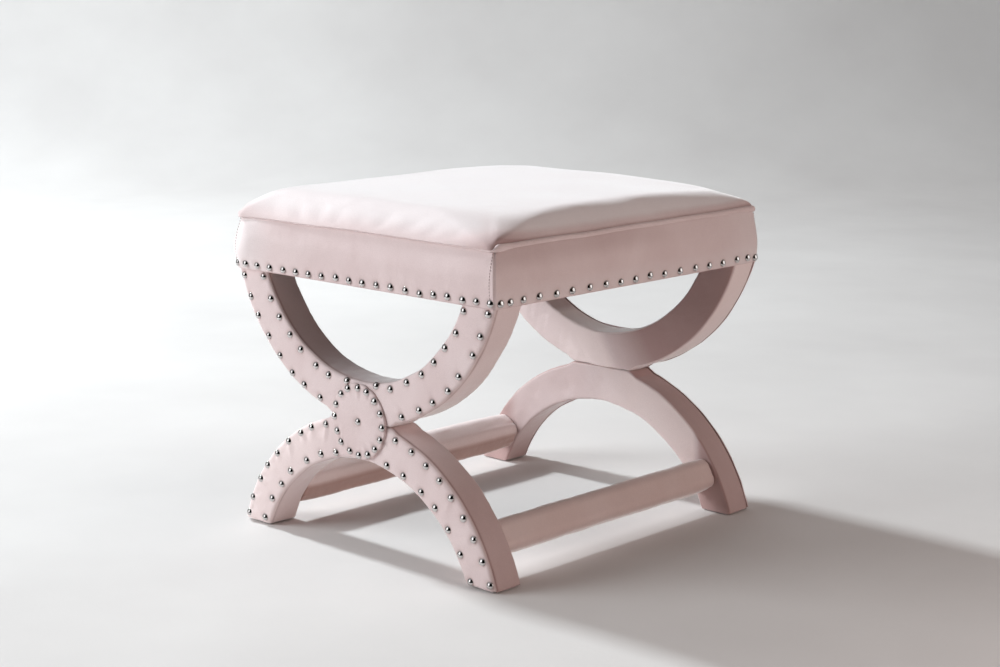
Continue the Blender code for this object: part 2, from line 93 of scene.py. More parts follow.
# How the upholstery has settled on it
SEAM_LINE = SEAM - 0.0028           # the padding under the welt has given way
PEAK = SEAM + WELT_RADIUS + CROWN_RISE - 0.0006
WORN_REACH = 0.11                   # the seat has gone down round its back right corner
FOOT_SAG = 0.0024                   # the fabric of a foot hangs this far past the arc's end
NAIL_SEAT = 0.0005                  # the nail heads stand this far out of the fabric

# Padding of the band's corners: front left, front right, back right, back left
CORNER_ROUND = (0.0460, 0.0006, 0.0120, 0.0080)
CORNER_FLARE = (0.0135, 0.0, 0.0, 0.0)

# Painted light and shade on the velvet, per point: lower than plain is painted shade, higher is painted
# highlight
PLAIN = 0.5
DARKEST_PAINTED_SHADE = 0.05


# Numbers

def smooth(low, high, value):
    """Eased step from zero at low to one at high."""
    t = np.clip((value - low) / (high - low), 0.0, 1.0)
    return t * t * (3 - 2 * t)


def bell(value, width):
    """Bump of height one round zero."""
    return np.exp(-(value / width) ** 2)


def quarter(first, last, steps):
    """Cosines and sines along a quarter turn that is cut into equal steps."""
    turns = [math.radians(90 * k / steps) for k in range(first, last + 1)]
    return [(math.cos(turn), math.sin(turn)) for turn in turns]


def rolled(near, radius):
    """How far a rounded edge falls away at a distance from its end."""
    over = np.clip(radius - near, 0, radius)
    return radius - np.sqrt(radius ** 2 - over ** 2)


def joined(*axes):
    """Rows of coordinates or corners, one from each axis."""
    return np.stack(np.broadcast_arrays(*axes), -1)


def grid_quads(shape):
    """Corners of the squares of a grid of points."""
    index = np.arange(math.prod(shape)).reshape(shape)
    return joined(index[:-1, :-1], index[1:, :-1], index[1:, 1:], index[:-1, 1:])


def swell(points, height, length, seed, terms=14):
    """Soft random waves over points in space."""
    rng = np.random.default_rng(seed)
    total = 0.0
    for _ in range(terms):
        way = rng.normal(size=3)
        way *= math.tau / (length * rng.uniform(0.7, 1.7)) / np.linalg.norm(way)
        total = total + np.sin(points @ way + rng.uniform(0, math.tau))
    return height * total / math.sqrt(terms)


def pits(p, q, places, depth, width):
    """Fabric drawn in round each nail."""
    total = np.zeros_like(p)
    for a, b in places:
        total -= depth * bell(np.hypot(p - a, q - b), width)
    return total


def stars(p, q, places, height, reach, seed):
    """Small ridges that run out from each nail."""
    rng = np.random.default_rng(seed)
    total = np.zeros_like(p)
    for a, b in places:
        far = np.hypot(p - a, q - b)
        turn = np.arctan2(q - b, p - a)
        count = rng.integers(4, 8)
        ridge = np.cos(count * turn + rng.uniform(0, math.tau))
        ridge = ridge + 0.6 * np.cos(3 * turn + rng.uniform(0, math.tau))
        total += height * rng.uniform(0.4, 1.2) * ridge * np.exp(-far / reach) * smooth(0.003, 0.007, far)
    return total


# Materials

def surface(name):
    made = bpy.data.materials.new(name)
    made.use_nodes = True
    return made, made.node_tree, made.node_tree.nodes["Principled BSDF"]


def node(tree, kind, values=None, **settings):
    """New node; a value is either linked, if it is a socket, or set."""
    made = tree.nodes.new(kind)
    for key, value in settings.items():
        setattr(made, key, value)
    for key, value in (values or {}).items():
        if isinstance(value, bpy.types.NodeSocket):
            tree.links.new(value, made.inputs[key])
        else:
            made.inputs[key].default_value = value
    return made


def place_of(tree, scale=(1, 1, 1), turn=(0, 0, 0)):
    where = node(tree, "ShaderNodeTexCoord").outputs["Object"]
    values = {"Vector": where, "Scale": scale, "Rotation": turn}
    return node(tree, "ShaderNodeMapping", values).outputs["Vector"]


def noise(tree, where, scale, detail=3.0, rough=0.55, bend=0.0):
    return node(tree, "ShaderNodeTexNoise", {"Vector": where, "Scale": scale, "Detail": detail,
                                             "Roughness": rough, "Distortion": bend}).outputs["Fac"]


def ramp(tree, fac, stops):
    made = node(tree, "ShaderNodeValToRGB", {"Fac": fac})
    band = made.color_ramp
    while len(band.elements) < len(stops):
        band.elements.new(0.5)
    for element, (at, colour) in zip(band.elements, stops):
        element.position = at
        element.color = (*colour, 1.0)
    return made.outputs["Color"]


def levels(tree, fac, low, high, start=0.3, end=0.7):
    """Value that goes from low to high while the factor goes from start to end."""
    return node(tree, "ShaderNodeMapRange", {"Value": fac, "From Min": start, "From Max": end,
                                             "To Min": low, "To Max": high}).outputs["Result"]


def product(tree, one, two):
    return node(tree, "ShaderNodeMath", {0: one, 1: two}, operation="MULTIPLY").outputs["Value"]


def vectors(tree, operation, result, *values):
    return node(tree, "ShaderNodeVectorMath", dict(enumerate(values)), operation=operation).outputs[result]


def between(one, two):
    return tuple((a + b) / 2 for a, b in zip(one, two))


def blended(tree, one, two, fac, kind="MIX"):
    made = node(tree, "ShaderNodeMix", {"Factor": fac}, data_type="RGBA", blend_type=kind)
    for socket, value in ((made.inputs[6], one), (made.inputs[7], two)):
        if isinstance(value, bpy.types.NodeSocket):
            tree.links.new(value, socket)
        else:
            socket.default_value = (*value, 1.0)
    return made.outputs[2]


def dressed(tree, shader, colour, rough, bumps, normal=None):
    """Join colour, roughness and a chain of bumps (height, strength, distance) to a shader."""
    tree.links.new(colour, shader.inputs["Base Color"])
    tree.links.new(rough, shader.inputs["Roughness"])
    for height, strength, distance in bumps:
        values = {"Height": height, "Strength": strength, "Distance": distance}
        if normal:
            values["Normal"] = normal
        normal = node(tree, "ShaderNodeBump", values).outputs["Normal"]
    tree.links.new(normal, shader.inputs["Normal"])


def velvet(name, deep, pale, folds, painted_highlight):
    """Short pile with a clouded nap; painted light and shade blend it towards folds, the painted shade
    colour, and towards the painted highlight colour.
    """
    made, tree, shader = surface(name)
    where = place_of(tree)
    nap = noise(tree, where, 6.5, 5.0, 0.6, 0.9)
    strokes = noise(tree, place_of(tree, (1.0, 1.0, 0.35), (0.3, 0.2, 0.5)), 55.0, 3.0, 0.6, 0.4)
    pile = noise(tree, where, 1300.0, 2.0, 0.6)
    weave = noise(tree, where, 420.0, 2.0, 0.5)
    colour = ramp(tree, nap, [(0.30, deep), (0.50, between(deep, pale)), (0.68, pale)])
    brushed = blended(tree, colour, pale, levels(tree, strokes, 0.0, 0.22, 0.45, 0.75))
    painted_light_shade = node(tree, "ShaderNodeAttribute", attribute_name="painted_light_shade").outputs["Fac"]
    # Painted shade below PLAIN, painted highlight above it
    shaded = blended(tree, brushed, folds, levels(tree, painted_light_shade, 0.75, 0.0, 0.0, PLAIN))
    lit = blended(tree, shaded, painted_highlight, levels(tree, painted_light_shade, 0.0, 1.0, PLAIN, 1.0))
    speck = blended(tree, lit, (0.80, 0.76, 0.76), levels(tree, pile, 0.55, 0.0, 0.25, 0.6), "MULTIPLY")
    shader.inputs["Specular IOR Level"].default_value = 0.18
    shader.inputs["Sheen Weight"].default_value = 1.0
    shader.inputs["Sheen Roughness"].default_value = 0.32
    shader.inputs["Sheen Tint"].default_value = (1.0, 0.985, 0.985, 1.0)
    dressed(tree, shader, speck, levels(tree, strokes, 0.72, 0.95),
            [(strokes, 0.25, 0.0012), (weave, 0.18, 0.0007), (pile, 0.30, 0.0004)])
    return made


def metal(name, colour, low, high, scale, lift=0.0):
    """Worked metal; lift turns its shading up a little, so that small domes mirror the light above them."""
    made, tree, shader = surface(name)
    cloud = noise(tree, place_of(tree), scale, 3.0, 0.6)
    scratch = noise(tree, place_of(tree, (1.0, 1.0, 9.0), (0.4, 0.7, 0.2)), scale * 3, 2.0, 0.6)
    clouded = ramp(tree, cloud, [(0.3, tuple(c * 0.86 for c in colour)), (0.65, colour)])
    shader.inputs["Metallic"].default_value = 1.0
    facing = node(tree, "ShaderNodeTexCoord").outputs["Normal"]
    lifted = vectors(tree, "NORMALIZE", "Vector", vectors(tree, "ADD", "Vector", facing, (0, 0, lift)))
    dressed(tree, shader, clouded, levels(tree, scratch, low, high), [(scratch, 0.05, 0.0003)], lifted)
    return made


def wood(name, dark, pale, along):
    made, tree, shader = surface(name)
    where = place_of(tree, along)
    rings = node(tree, "ShaderNodeTexWave", {"Vector": where, "Scale": 9.0, "Distortion": 6.0, "Detail": 3.0,
                                             "Detail Scale": 1.6}).outputs["Fac"]
    pores = noise(tree, where, 160.0, 3.0, 0.65)
    grain = ramp(tree, rings, [(0.0, pale), (0.6, between(dark, pale)), (1.0, dark)])
    colour = blended(tree, grain, tuple(c * 0.7 for c in dark), levels(tree, pores, 0.45, 0.0, 0.3, 0.5))
    dressed(tree, shader, colour, levels(tree, pores, 0.75, 0.5),
            [(rings, 0.12, 0.0008), (pores, 0.2, 0.0004)])
    return made


def foam_look(name):
    made, tree, shader = surface(name)
    where = place_of(tree)
    cells = node(tree, "ShaderNodeTexVoronoi", {"Vector": where, "Scale": 700.0}).outputs["Distance"]
    cloud = noise(tree, where, 12.0, 3.0)
    base = ramp(tree, cloud, [(0.35, (0.74, 0.66, 0.44)), (0.65, (0.86, 0.80, 0.60))])
    colour = blended(tree, base, (0.55, 0.47, 0.30), levels(tree, cells, 0.5, 0.0, 0.0, 0.4))
    dressed(tree, shader, colour, levels(tree, cloud, 0.85, 0.97), [(cells, 0.5, 0.0008)])
    return made


def cambric_look(name):
    made, tree, shader = surface(name)
    threads = {"Vector": place_of(tree), "Scale": 420.0, "Distortion": 0.6}
    warp, weft = [node(tree, "ShaderNodeTexWave", threads, bands_direction=way).outputs["Fac"]
                  for way in ("X", "Y")]
    cross = product(tree, warp, weft)
    cloud = noise(tree, place_of(tree), 30.0, 4.0)
    base = ramp(tree, cloud, [(0.3, (0.012, 0.012, 0.013)), (0.7, (0.030, 0.029, 0.030))])
    colour = blended(tree, base, (0.055, 0.054, 0.055), levels(tree, cross, 0.0, 0.5, 0.2, 0.8))
    dressed(tree, shader, colour, levels(tree, cloud, 0.8, 0.95), [(cross, 0.4, 0.0003)])
    return made


def plastic_look(name):
    made, tree, shader = surface(name)
    grit = noise(tree, place_of(tree), 900.0, 2.0)
    scuff = noise(tree, place_of(tree), 90.0, 4.0, 0.7)
    colour = ramp(tree, scuff, [(0.35, (0.018, 0.018, 0.019)), (0.72, (0.060, 0.058, 0.056))])
    dressed(tree, shader, colour, levels(tree, scuff, 0.38, 0.65), [(grit, 0.2, 0.0002)])
    return made


def floor_look(name, dark, pale):
    made, tree, shader = surface(name)
    cloud = noise(tree, place_of(tree), 1.6, 4.0)
    fine = noise(tree, place_of(tree), 140.0, 3.0)
    shader.inputs["Specular IOR Level"].default_value = 0.15
    dressed(tree, shader, ramp(tree, cloud, [(0.3, dark), (0.7, pale)]), levels(tree, fine, 0.75, 0.95),
            [(fine, 0.15, 0.001)])
    return made


# The last two colours of each velvet are its painted shade and its painted highlight; the frames' copy has a
# deeper painted shade, and the stretchers' copy is lighter all over: painted light.
VELVET = velvet("blush_velvet", (0.726, 0.565, 0.553), (0.796, 0.643, 0.631), (0.391, 0.230, 0.220),
                (0.90, 0.825, 0.820))
FRAMED = velvet("frame_velvet", (0.726, 0.567, 0.555), (0.796, 0.646, 0.634), (0.360, 0.178, 0.158),
                (0.95, 0.785, 0.760))
PAINTED_LIT_VELVET = velvet("painted_lit_velvet", (0.800, 0.620, 0.590), (0.870, 0.715, 0.690), (0.430, 0.218, 0.168),
                (0.95, 0.790, 0.765))
NICKEL = metal("polished_nickel", (0.66, 0.63, 0.62), 0.06, 0.13, 120.0, 0.14)
STEEL = metal("zinc_steel", (0.46, 0.46, 0.47), 0.28, 0.45, 60.0)
TIMBER = wood("beech", (0.40, 0.25, 0.13), (0.66, 0.49, 0.31), (1.0, 1.0, 0.18))
PLYWOOD = wood("plywood", (0.42, 0.29, 0.17), (0.70, 0.55, 0.37), (0.2, 1.0, 6.0))
FOAM = foam_look("cut_foam")
CAMBRIC = cambric_look("black_cambric")
PLASTIC = plastic_look("black_plastic")
THREAD = velvet("seam_thread", (0.300, 0.205, 0.200), (0.400, 0.290, 0.280), (0.068, 0.032, 0.030),
                (0.500, 0.400, 0.390))
THREAD.node_tree.nodes["Principled BSDF"].inputs["Sheen Weight"].default_value = 0.2
LOOKS = {"velvet": VELVET, "timber": TIMBER, "plywood": PLYWOOD, "foam": FOAM, "nickel": NICKEL,
         "steel": STEEL, "cambric": CAMBRIC, "plastic": PLASTIC}


# Meshes

class Heap:
    """Points and faces of one piece, gathered part by part."""

    def __init__(self):
        self.points = []
        self.painted_light_shades = []
        self.faces = []
        self.count = 0

    def add(self, points, faces, painted_light_shade=None):
        points = np.asarray(points, dtype=float).reshape(-1, 3)
        self.points.append(points)
        self.painted_light_shades.append(np.full(len(points), PLAIN) if painted_light_shade is None else np.ravel(painted_light_shade))
        self.faces.extend([[i + self.count for i in face] for face in faces])
        self.count += len(points)

    def loft(self, rings, closed=False, painted_light_shade=None):
        """Rings of points swept along; closed joins the last ring to the first, else both ends are capped."""
        along, around = rings.shape[:2]
        i = np.arange(along if closed else along - 1)[:, None]
        j = np.arange(around)[None, :]
        ahead, beside = (i + 1) % along, (j + 1) % around
        quads = joined(i * around + j, i * around + beside, ahead * around + beside, ahead * around + j)
        faces = quads.reshape(-1, 4).tolist()
        if not closed:
            faces.append(list(range(around)))
            faces.append(list(range((along - 1) * around, along * around)))
        self.add(rings, faces, painted_light_shade)

    def make(self, name, look, sharp=50.0):
        mesh = bpy.data.meshes.new(name)
        mesh.from_pydata(np.concatenate(self.points).tolist(), [], self.faces)
        bm = bmesh.new()
        bm.from_mesh(mesh)
        bmesh.ops.recalc_face_normals(bm, faces=bm.faces)
        bm.to_mesh(mesh)
        bm.free()
        # Each point's painted light and shade goes to the velvet
        mesh.attributes.new("painted_light_shade", "FLOAT", "POINT").data.foreach_set("value", np.concatenate(self.painted_light_shades))
        mesh.polygons.foreach_set("use_smooth", np.ones(len(mesh.polygons), dtype=bool))
        mesh.set_sharp_from_angle(angle=math.radians(sharp))
        mesh.materials.append(look)
        made = bpy.data.objects.new(name, mesh)
        bpy.context.scene.collection.objects.link(made)
        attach(made, "root")
        return made


def lofted(name, look, rings, painted_light_shade=None, closed=False):
    """Velvet piece made of one loft."""
    heap = Heap()
    heap.loft(rings, closed, painted_light_shade)
    return heap.make(name, look)


def basis(axis):
    """Three unit rows, the last along the axis."""
    axis = Vector(axis).normalized()
    side = axis.cross(Vector((0, 0, 1)) if abs(axis.z) < 0.9 else Vector((1, 0, 0))).normalized()
    return np.array([side, axis.cross(side), axis])


def turned(heap, profile, origin, axis, steps=32):
    """Turned form; a first or last radius of zero closes to a point."""
    frame_rows = basis(axis)
    angles = np.arange(steps) * math.tau / steps
    points = []
    faces = []
    rows = []
    for radius, height in profile:
        start = len(points)
        if radius == 0:
            points.append((0.0, 0.0, height))
            rows.append([start] * steps)
        else:
            points.extend(zip(radius * np.cos(angles), radius * np.sin(angles), [height] * steps))
            rows.append(list(range(start, start + steps)))
    for low, high in zip(rows, rows[1:]):
        for k in range(steps):
            face = [low[k], low[(k + 1) % steps], high[(k + 1) % steps], high[k]]
            faces.append(list(dict.fromkeys(face)))
    for row in (rows[0], rows[-1]):
        if len(set(row)) > 1:
            faces.append(row)
    heap.add(np.asarray(points) @ frame_rows + np.asarray(origin), faces)


def nail_head(heap, origin, axis, rng):
    """Domed nail set by hand: a rolled rim, a high dome and a slight lean."""
    lean = Vector(axis) + Vector((0, 0, 0.15)) + Vector(rng.normal(0, 0.035, 3))
    size = rng.uniform(0.97, 1.03)
    rim = 0.0001
    profile = [(0.0, -0.0002), (NAIL_RADIUS * 0.80, -0.0004), (NAIL_RADIUS * 0.985, -0.0003)]
    profile.append((NAIL_RADIUS, rim))
    profile += [(NAIL_RADIUS * c, rim + NAIL_HEIGHT * s) for c, s in quarter(1, 8, 9)]
    profile.append((0.0, rim + NAIL_HEIGHT))
    turned(heap, [(r * size, h) for r, h in profile], origin, lean, 24)


# Seat: the welt, the cushion and the band share the line of the top seam.

def corner_reach(x, y):
    """Distance from the nearest seat corner, and how far the point belongs to the left and right faces."""
    dx = SEAT_WIDTH / 2 - np.abs(x)
    dy = SEAT_DEPTH / 2 - np.abs(y)
    return np.maximum(dx, dy), smooth(-0.007, 0.007, dy - dx)


def seam_line(x, y):
    """Lower edge, middle and upper edge of the welt at a place in plan.

    The cushion rolls over the welt along the front and the back, so only its lower half shows there.
    """
    far, flank = corner_reach(x, y)
    corner, covered, least = 0.0022, 0.0018, 0.0002
    dip = corner * np.exp(-(far / 0.026) ** 1.3)
    lift = corner * flank * np.exp(-(far / 0.030) ** 1.3)
    line = SEAM_LINE + swell(joined(x, y, 0.0), 0.0005, 0.11, 5)
    shown = smooth(0.0, 1.0, flank)
    middle = line - (covered + 0.5 * dip) * (1 - shown)
    return line - WELT_RADIUS - dip, middle, middle + least + (WELT_RADIUS + lift - 0.5 * dip) * shown


def eared(points, out):
    """Seat outline with its corners drawn out a little where the welt turns."""
    far = corner_reach(points[..., 0], points[..., 1])[0]
    left = (points[..., 0] < 0) & (points[..., 1] < 0)
    ear, front_left_ear = 0.0020, 0.0036
    drawn = ear * bell(far, 0.016) + front_left_ear * left * np.exp(-far / 0.040)
    return points + out * drawn[..., None]


def rounded_path(count, half_x, half_y, radius):
    """Evenly spaced points round a rounded rectangle, with outward normals."""
    bend, wide, deep = math.pi / 2 * radius, half_x - radius, half_y - radius
    ends = np.cumsum([bend, 2 * wide, bend, 2 * deep] * 2)
    at = ends[-1] * np.arange(count) / count
    part = np.searchsorted(ends, at, side="right")
    left = at - np.concatenate([[0.0], ends])[part]
    corner, straight = part // 2, part % 2 == 1
    angle = math.pi / 2 * corner + np.where(straight, math.pi / 2, left / radius)
    normals = joined(np.cos(angle), np.sin(angle))
    centres = np.array([(wide, deep), (-wide, deep), (-wide, -deep), (wide, -deep)])[corner]
    onward = joined(-normals[:, 1], normals[:, 0]) * np.where(straight, left, 0.0)[:, None]
    return centres + radius * normals + onward, normals


def build_welt():
    """Piping round the top seam."""
    inset, corner = 0.006, 0.008
    plan, out = rounded_path(720, SEAT_WIDTH / 2 - inset, SEAT_DEPTH / 2 - inset, corner)
    plan = eared(plan, out)
    low, middle, high = seam_line(plan[:, 0], plan[:, 1])
    around = 20
    angles = np.arange(around) * math.tau / around
    girth = WELT_RADIUS + swell(joined(plan[:, 0], plan[:, 1], 0.0), 0.00025, 0.03, 6)
    reach = girth[:, None] * np.cos(angles)
    rise = np.where(np.sin(angles) > 0, (high - middle)[:, None], (middle - low)[:, None])
    rings = joined(plan[:, :1] + out[:, :1] * reach, plan[:, 1:] + out[:, 1:] * reach,
                   middle[:, None] + rise * np.sin(angles))
    made = lofted("seat_piping", VELVET, rings, closed=True)
    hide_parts("seat_welt")


def shell_plan(count, half_x, half_y, radius):
    """Square grid laid out as nested rounded rectangles: plan position and inset from the rim."""
    line = 2 * np.arange(count) / (count - 1) - 1
    u, v = np.meshgrid(line, line, indexing="ij")
    t = np.maximum(np.abs(u), np.abs(v))
    inset = half_x * (1 - t) ** 1.8
    wide = half_x - inset
    deep = half_y * wide / half_x
    # The corners' radius grows inwards, faster at some than at others, and the near one is blunt.
    growth = np.where(v < 0, np.where(u < 0, 0.8, 2.2), np.where(u < 0, 1.3, 0.8))
    blunt = np.where((v < 0) & (u > 0), 0.016, 0.0) * (1 - np.exp(-inset / 0.004))
    curve = np.minimum(radius + growth * inset + blunt, 0.9 * wide)
    flank = np.abs(u) >= np.abs(v)
    share = np.where(flank, np.abs(v), np.abs(u)) / np.maximum(t, 1e-9)
    half = np.where(flank, deep, wide)
    run = share * (half - curve + curve * math.pi / 4)
    turn = np.clip((run - (half - curve)) / np.maximum(curve, 1e-9), 0, math.pi / 4)
    off = np.where(flank, wide, deep) - curve + curve * np.cos(turn)
    along = np.minimum(run, half - curve) + curve * np.sin(turn)
    x = np.where(flank, off, along) * np.where(u < 0, -1, 1)
    y = np.where(flank, along, off) * np.where(v < 0, -1, 1)
    return x, y, inset


def crown(inset):
    """Share of the cushion's rise at an inset from the rim: a sloping side that rolls over to the top."""
    begin, end, lip = 0.005, 0.053, 0.0013
    t = np.clip((inset - begin) / (end - begin), 0, 1)
    climb = np.minimum(inset, end) - (end - begin) * (t ** 3 - t ** 4 / 2)
    roll = lip * (1 - np.exp(-inset / 0.0015))
    return (climb + roll) / (end - (end - begin) / 2 + lip)


def near_corner(x, y, side, reach):
    """Fade round the seat's right corner at the front (side -1) or the back (side 1)."""
    return bell(np.hypot(x - SEAT_WIDTH / 2, y - side * SEAT_DEPTH / 2), reach)


def grid_body(heap, top, under, painted_light_shade):
    """Closed body between two square grids that share their outline."""
    count = len(top)
    size = count * count
    index = np.arange(size).reshape(count, count)
    quads = grid_quads(top.shape[:2]).reshape(-1, 4)
    faces = quads.tolist() + (quads[:, ::-1] + size).tolist()
    ring = np.concatenate([index[0, :-1], index[:-1, -1], index[-1, :0:-1], index[:0:-1, 0]])
    after = np.roll(ring, -1)
    faces += joined(ring, after, after + size, ring + size).tolist()
    heap.add(np.concatenate([top.reshape(-1, 3), under.reshape(-1, 3)]), faces,
             np.concatenate([painted_light_shade.ravel(), np.full(size, PLAIN)]))


def settled(start, inset, cap):
    """Fill the cover as cloth held along its rim, under light pressure; no point moves past the cap."""
    coarse = start[::2, ::2]
    frames, rim, slack = 20, 0.003, -0.0015
    mesh = bpy.data.meshes.new("loose_cover")
    mesh.from_pydata(coarse.reshape(-1, 3).tolist(), [], grid_quads(coarse.shape[:2]).reshape(-1, 4).tolist())
    cover = bpy.data.objects.new("loose_cover", mesh)
    scene = bpy.context.scene
    scene.collection.objects.link(cover)
    held = np.nonzero(inset[::2, ::2].ravel() < rim)[0]
    cover.vertex_groups.new(name="rim").add(held.tolist(), 1.0, "REPLACE")
    filled = cover.modifiers.new("filled", "CLOTH")
    for key, value in {"quality": 5, "mass": 0.3, "tension_stiffness": 15.0, "compression_stiffness": 15.0,
                       "shear_stiffness": 5.0, "bending_stiffness": 10.0, "air_damping": 5.0,
                       "use_pressure": True, "uniform_pressure_force": 0.3, "shrink_min": slack,
                       "shrink_max": slack, "vertex_group_mass": "rim"}.items():
        setattr(filled.settings, key, value)
    filled.settings.effector_weights.gravity = 0.0
    filled.collision_settings.use_collision = False
    filled.point_cache.frame_start = 1
    filled.point_cache.frame_end = frames
    for moment in range(1, frames + 1):
        scene.frame_set(moment)
    shown = cover.evaluated_get(bpy.context.evaluated_depsgraph_get())
    flat = np.empty(coarse.size)
    shown.data.vertices.foreach_get("co", flat)
    move = flat.reshape(coarse.shape) - coarse
    bpy.data.objects.remove(cover)
    bpy.data.meshes.remove(mesh)
    scene.frame_set(1)
    length = np.maximum(np.linalg.norm(move, axis=-1, keepdims=True), 1e-9)
    move = move / length * cap * np.tanh(length / cap)
    fine = np.zeros_like(start)
    fine[::2, ::2] = move
    fine[1::2, ::2] = (move[1:] + move[:-1]) / 2
    fine[:, 1::2] = (fine[:, 2::2] + fine[:, :-2:2]) / 2
    inside = fine[1:-1, 1:-1]
    around = fine[2:, 1:-1] + fine[:-2, 1:-1] + fine[1:-1, 2:] + fine[1:-1, :-2]
    fine[1:-1, 1:-1] = inside / 2 + around / 8
    return start + fine


def build_cushion():
    """Crowned top cover and the foam in it."""
    inset_x, inset_y, corner = 0.0042, 0.0021, 0.0105
    sunk, tucked, give, thickness = 0.0090, 0.0012, 0.0030, 0.0026
    x, y, inset = shell_plan(161, SEAT_WIDTH / 2 - inset_x, SEAT_DEPTH / 2 - inset_y, corner)
    far, flank = corner_reach(x, y)
    plan = joined(x, y)
    away = plan / np.maximum(np.hypot(x, y), 0.01)[..., None]
    plan = plan + (eared(plan, away) - plan) * np.exp(-inset / 0.010)[..., None]
    x, y = plan[..., 0], plan[..., 1]
    x = x - np.sign(x) * 0.0036 * flank * np.exp(-inset / 0.008)
    rim = seam_line(x, y)[2] + CLEARANCE / 2 - 0.0010 * flank
    plump = np.where(y < 0, np.where(x < 0, 0.35, 0.42), np.where(x < 0, 0.20, 0.22))
    share = crown(inset) ** (1 - plump * bell(far, 0.050))
    z = rim + (PEAK - rim) * share
    spot = joined(x, y, z)
    edge = bell(inset, 0.030)
    z = z + swell(spot, 0.0007, 0.16, 11) * (1 - edge)
    z = z + swell(spot, 0.00022, 0.035, 12) * edge * smooth(0, 0.004, inset)
    pulled = tucked * bell(far, 0.045) * bell(inset - 0.014, 0.010)
    pulled = pulled + sunk * near_corner(x, y, 1, WORN_REACH) * smooth(0.0, 0.03, inset)
    top = joined(x, y, z - pulled)
    loose = top - joined(0.0, 0.0, give * smooth(0.018, 0.050, inset))
    top = settled(loose, inset, give)
    shrink = 1 - 0.0028 / np.maximum(np.hypot(x, y), 0.05)
    lining = np.where(inset < 0.004, rim, np.maximum(top[..., 2] - thickness, rim))
    under = joined(top[..., 0] * shrink, top[..., 1] * shrink, lining)
    # Painted light and shade: painted highlight on the top and on the front and back slopes, lighter on the
    # side slopes, painted shade round the near corner and in the seam along the sides.
    beside = smooth(-0.030, 0.010, (SEAT_DEPTH / 2 - np.abs(y)) - (SEAT_WIDTH / 2 - np.abs(x)))
    pale = beside * smooth(0.010, 0.050, np.where(x < 0, inset - 0.012, inset))
    pale = pale + (1 - beside) * smooth(-0.002, 0.018, inset)
    painted_light_shade = PLAIN - 0.34 * bell(inset, 0.0018) * flank + 0.32 * pale
    painted_light_shade = painted_light_shade - 0.42 * near_corner(x, y, -1, 0.054) * (1 - pale)
    painted_light_shade = painted_light_shade + 0.40 * beside * smooth(0.003, 0.012, inset) * (1 - pale)
    heap = Heap()
    grid_body(heap, top, under, painted_light_shade)
    made = heap.make("seat_cushion", VELVET)
    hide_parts("seat_top_cover")

    inside, below, corner = 0.0098, 0.0050, 0.014
    x, y, inset = shell_plan(61, SEAT_WIDTH / 2 - inside, SEAT_DEPTH / 2 - inside, corner)
    rise = PEAK - SEAM_LINE - below - (sunk + 0.0010) * near_corner(x, y, 1, WORN_REACH)
    z = SEAM_LINE + rise * (0.06 + 0.94 * crown(inset - 0.004))
    deck = SEAT_UNDERSIDE + RAIL_HEIGHT + BOARD_THICKNESS + CLEARANCE
    heap = Heap()
    grid_body(heap, joined(x, y, z), joined(x, y, deck), np.full_like(x, PLAIN))
    made = heap.make("seat_filling", FOAM)
    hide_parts("seat_foam")


def band_height(u, z, top, nails, half, flank, seed, flares):
    """Outward offset of a band panel from its lower edge line."""
    share = np.clip((z - SEAT_UNDERSIDE) / (top - SEAT_UNDERSIDE), 0, 1)
    high = z - SEAT_UNDERSIDE
    inward = smooth(0.0, 0.045, half - np.abs(u))
    fuller, flatter, bulge = (0.0015, 0.0004, 0.0034) if flank else (0.0, 0.0, 0.0034)
    taper = BAND_TAPER - fuller * inward
    out = -taper * share ** 1.8 + bulge * np.sin(math.pi * share) ** 1.3
    crease = 0.0006 - flatter * inward
    out = out - crease * bell(top - z, 0.0022)
    out = out + pits(u, high, nails, 0.0011, 0.0058)
    rng = np.random.default_rng(seed)
    for a, b in nails:
        lean = rng.uniform(-0.4, 0.4)
        above = high - b
        across = u - a - lean * above
        window = smooth(0.003, 0.007, above) * (1 - smooth(0.010, 0.010 + rng.uniform(0.006, 0.02), above))
        out = out + rng.uniform(0.00005, 0.00025) * bell(across, 0.0034) * window
    spot = joined(u, high, 0.1)
    out = out + swell(spot, 0.0004, 0.16, seed + 1) * np.sin(math.pi * share) * inward
    out = out + swell(spot, 0.00006, 0.022, seed + 2)
    seam = half - np.abs(u)
    flare = np.where(u < 0, *flares) * (0.34 + 0.66 * np.sin(math.pi * share)) * np.exp(-seam / 0.060)
    out = out + flare * smooth(0.0, 0.12, np.abs(u))
    fold = 0.0005 * bell((top - z) - 0.75 * (seam - 0.004), 0.0022)
    return out + fold * smooth(0.004, 0.008, seam) * (1 - smooth(0.012, 0.024, seam))


def band_nails(across_x, half, seed):
    """Row of nails set by eye: closer together towards the corners."""
    count, crowding, end = (20, 0.14, 0.0066) if across_x else (19, 0.40, 0.0100)
    height = 0.0074
    rng = np.random.default_rng(seed)
    from_end = np.minimum(np.arange(count - 1), np.arange(count - 1)[::-1])
    gaps = 1 - crowding * bell(from_end, 1.6) + rng.normal(0, 0.05, count - 1)
    at = np.concatenate([[0], np.cumsum(gaps)]) / gaps.sum() * 2 - 1
    return [((half - end) * a, height + rng.normal(0, 0.0007)) for a in at]


def band_curve(u, share, rounds):
    """Corner radius of the band at a share of its height; the padding is fullest half-way up."""
    least = 0.0036
    return least + np.where(u < 0, *rounds) * (0.36 + 0.64 * np.sin(math.pi * share))


def band_face(u, z, top, rounds, nails, half, flank, seed, flares):
    """Inset of a band panel's face from the outermost plane, with the padded corners turned in."""
    share = np.clip((z - SEAT_UNDERSIDE) / (top - SEAT_UNDERSIDE), 0, 1)
    base = -band_height(u, z, top, nails, half, flank, seed, flares)
    return base + rolled(half - base - np.abs(u), band_curve(u, share, rounds))


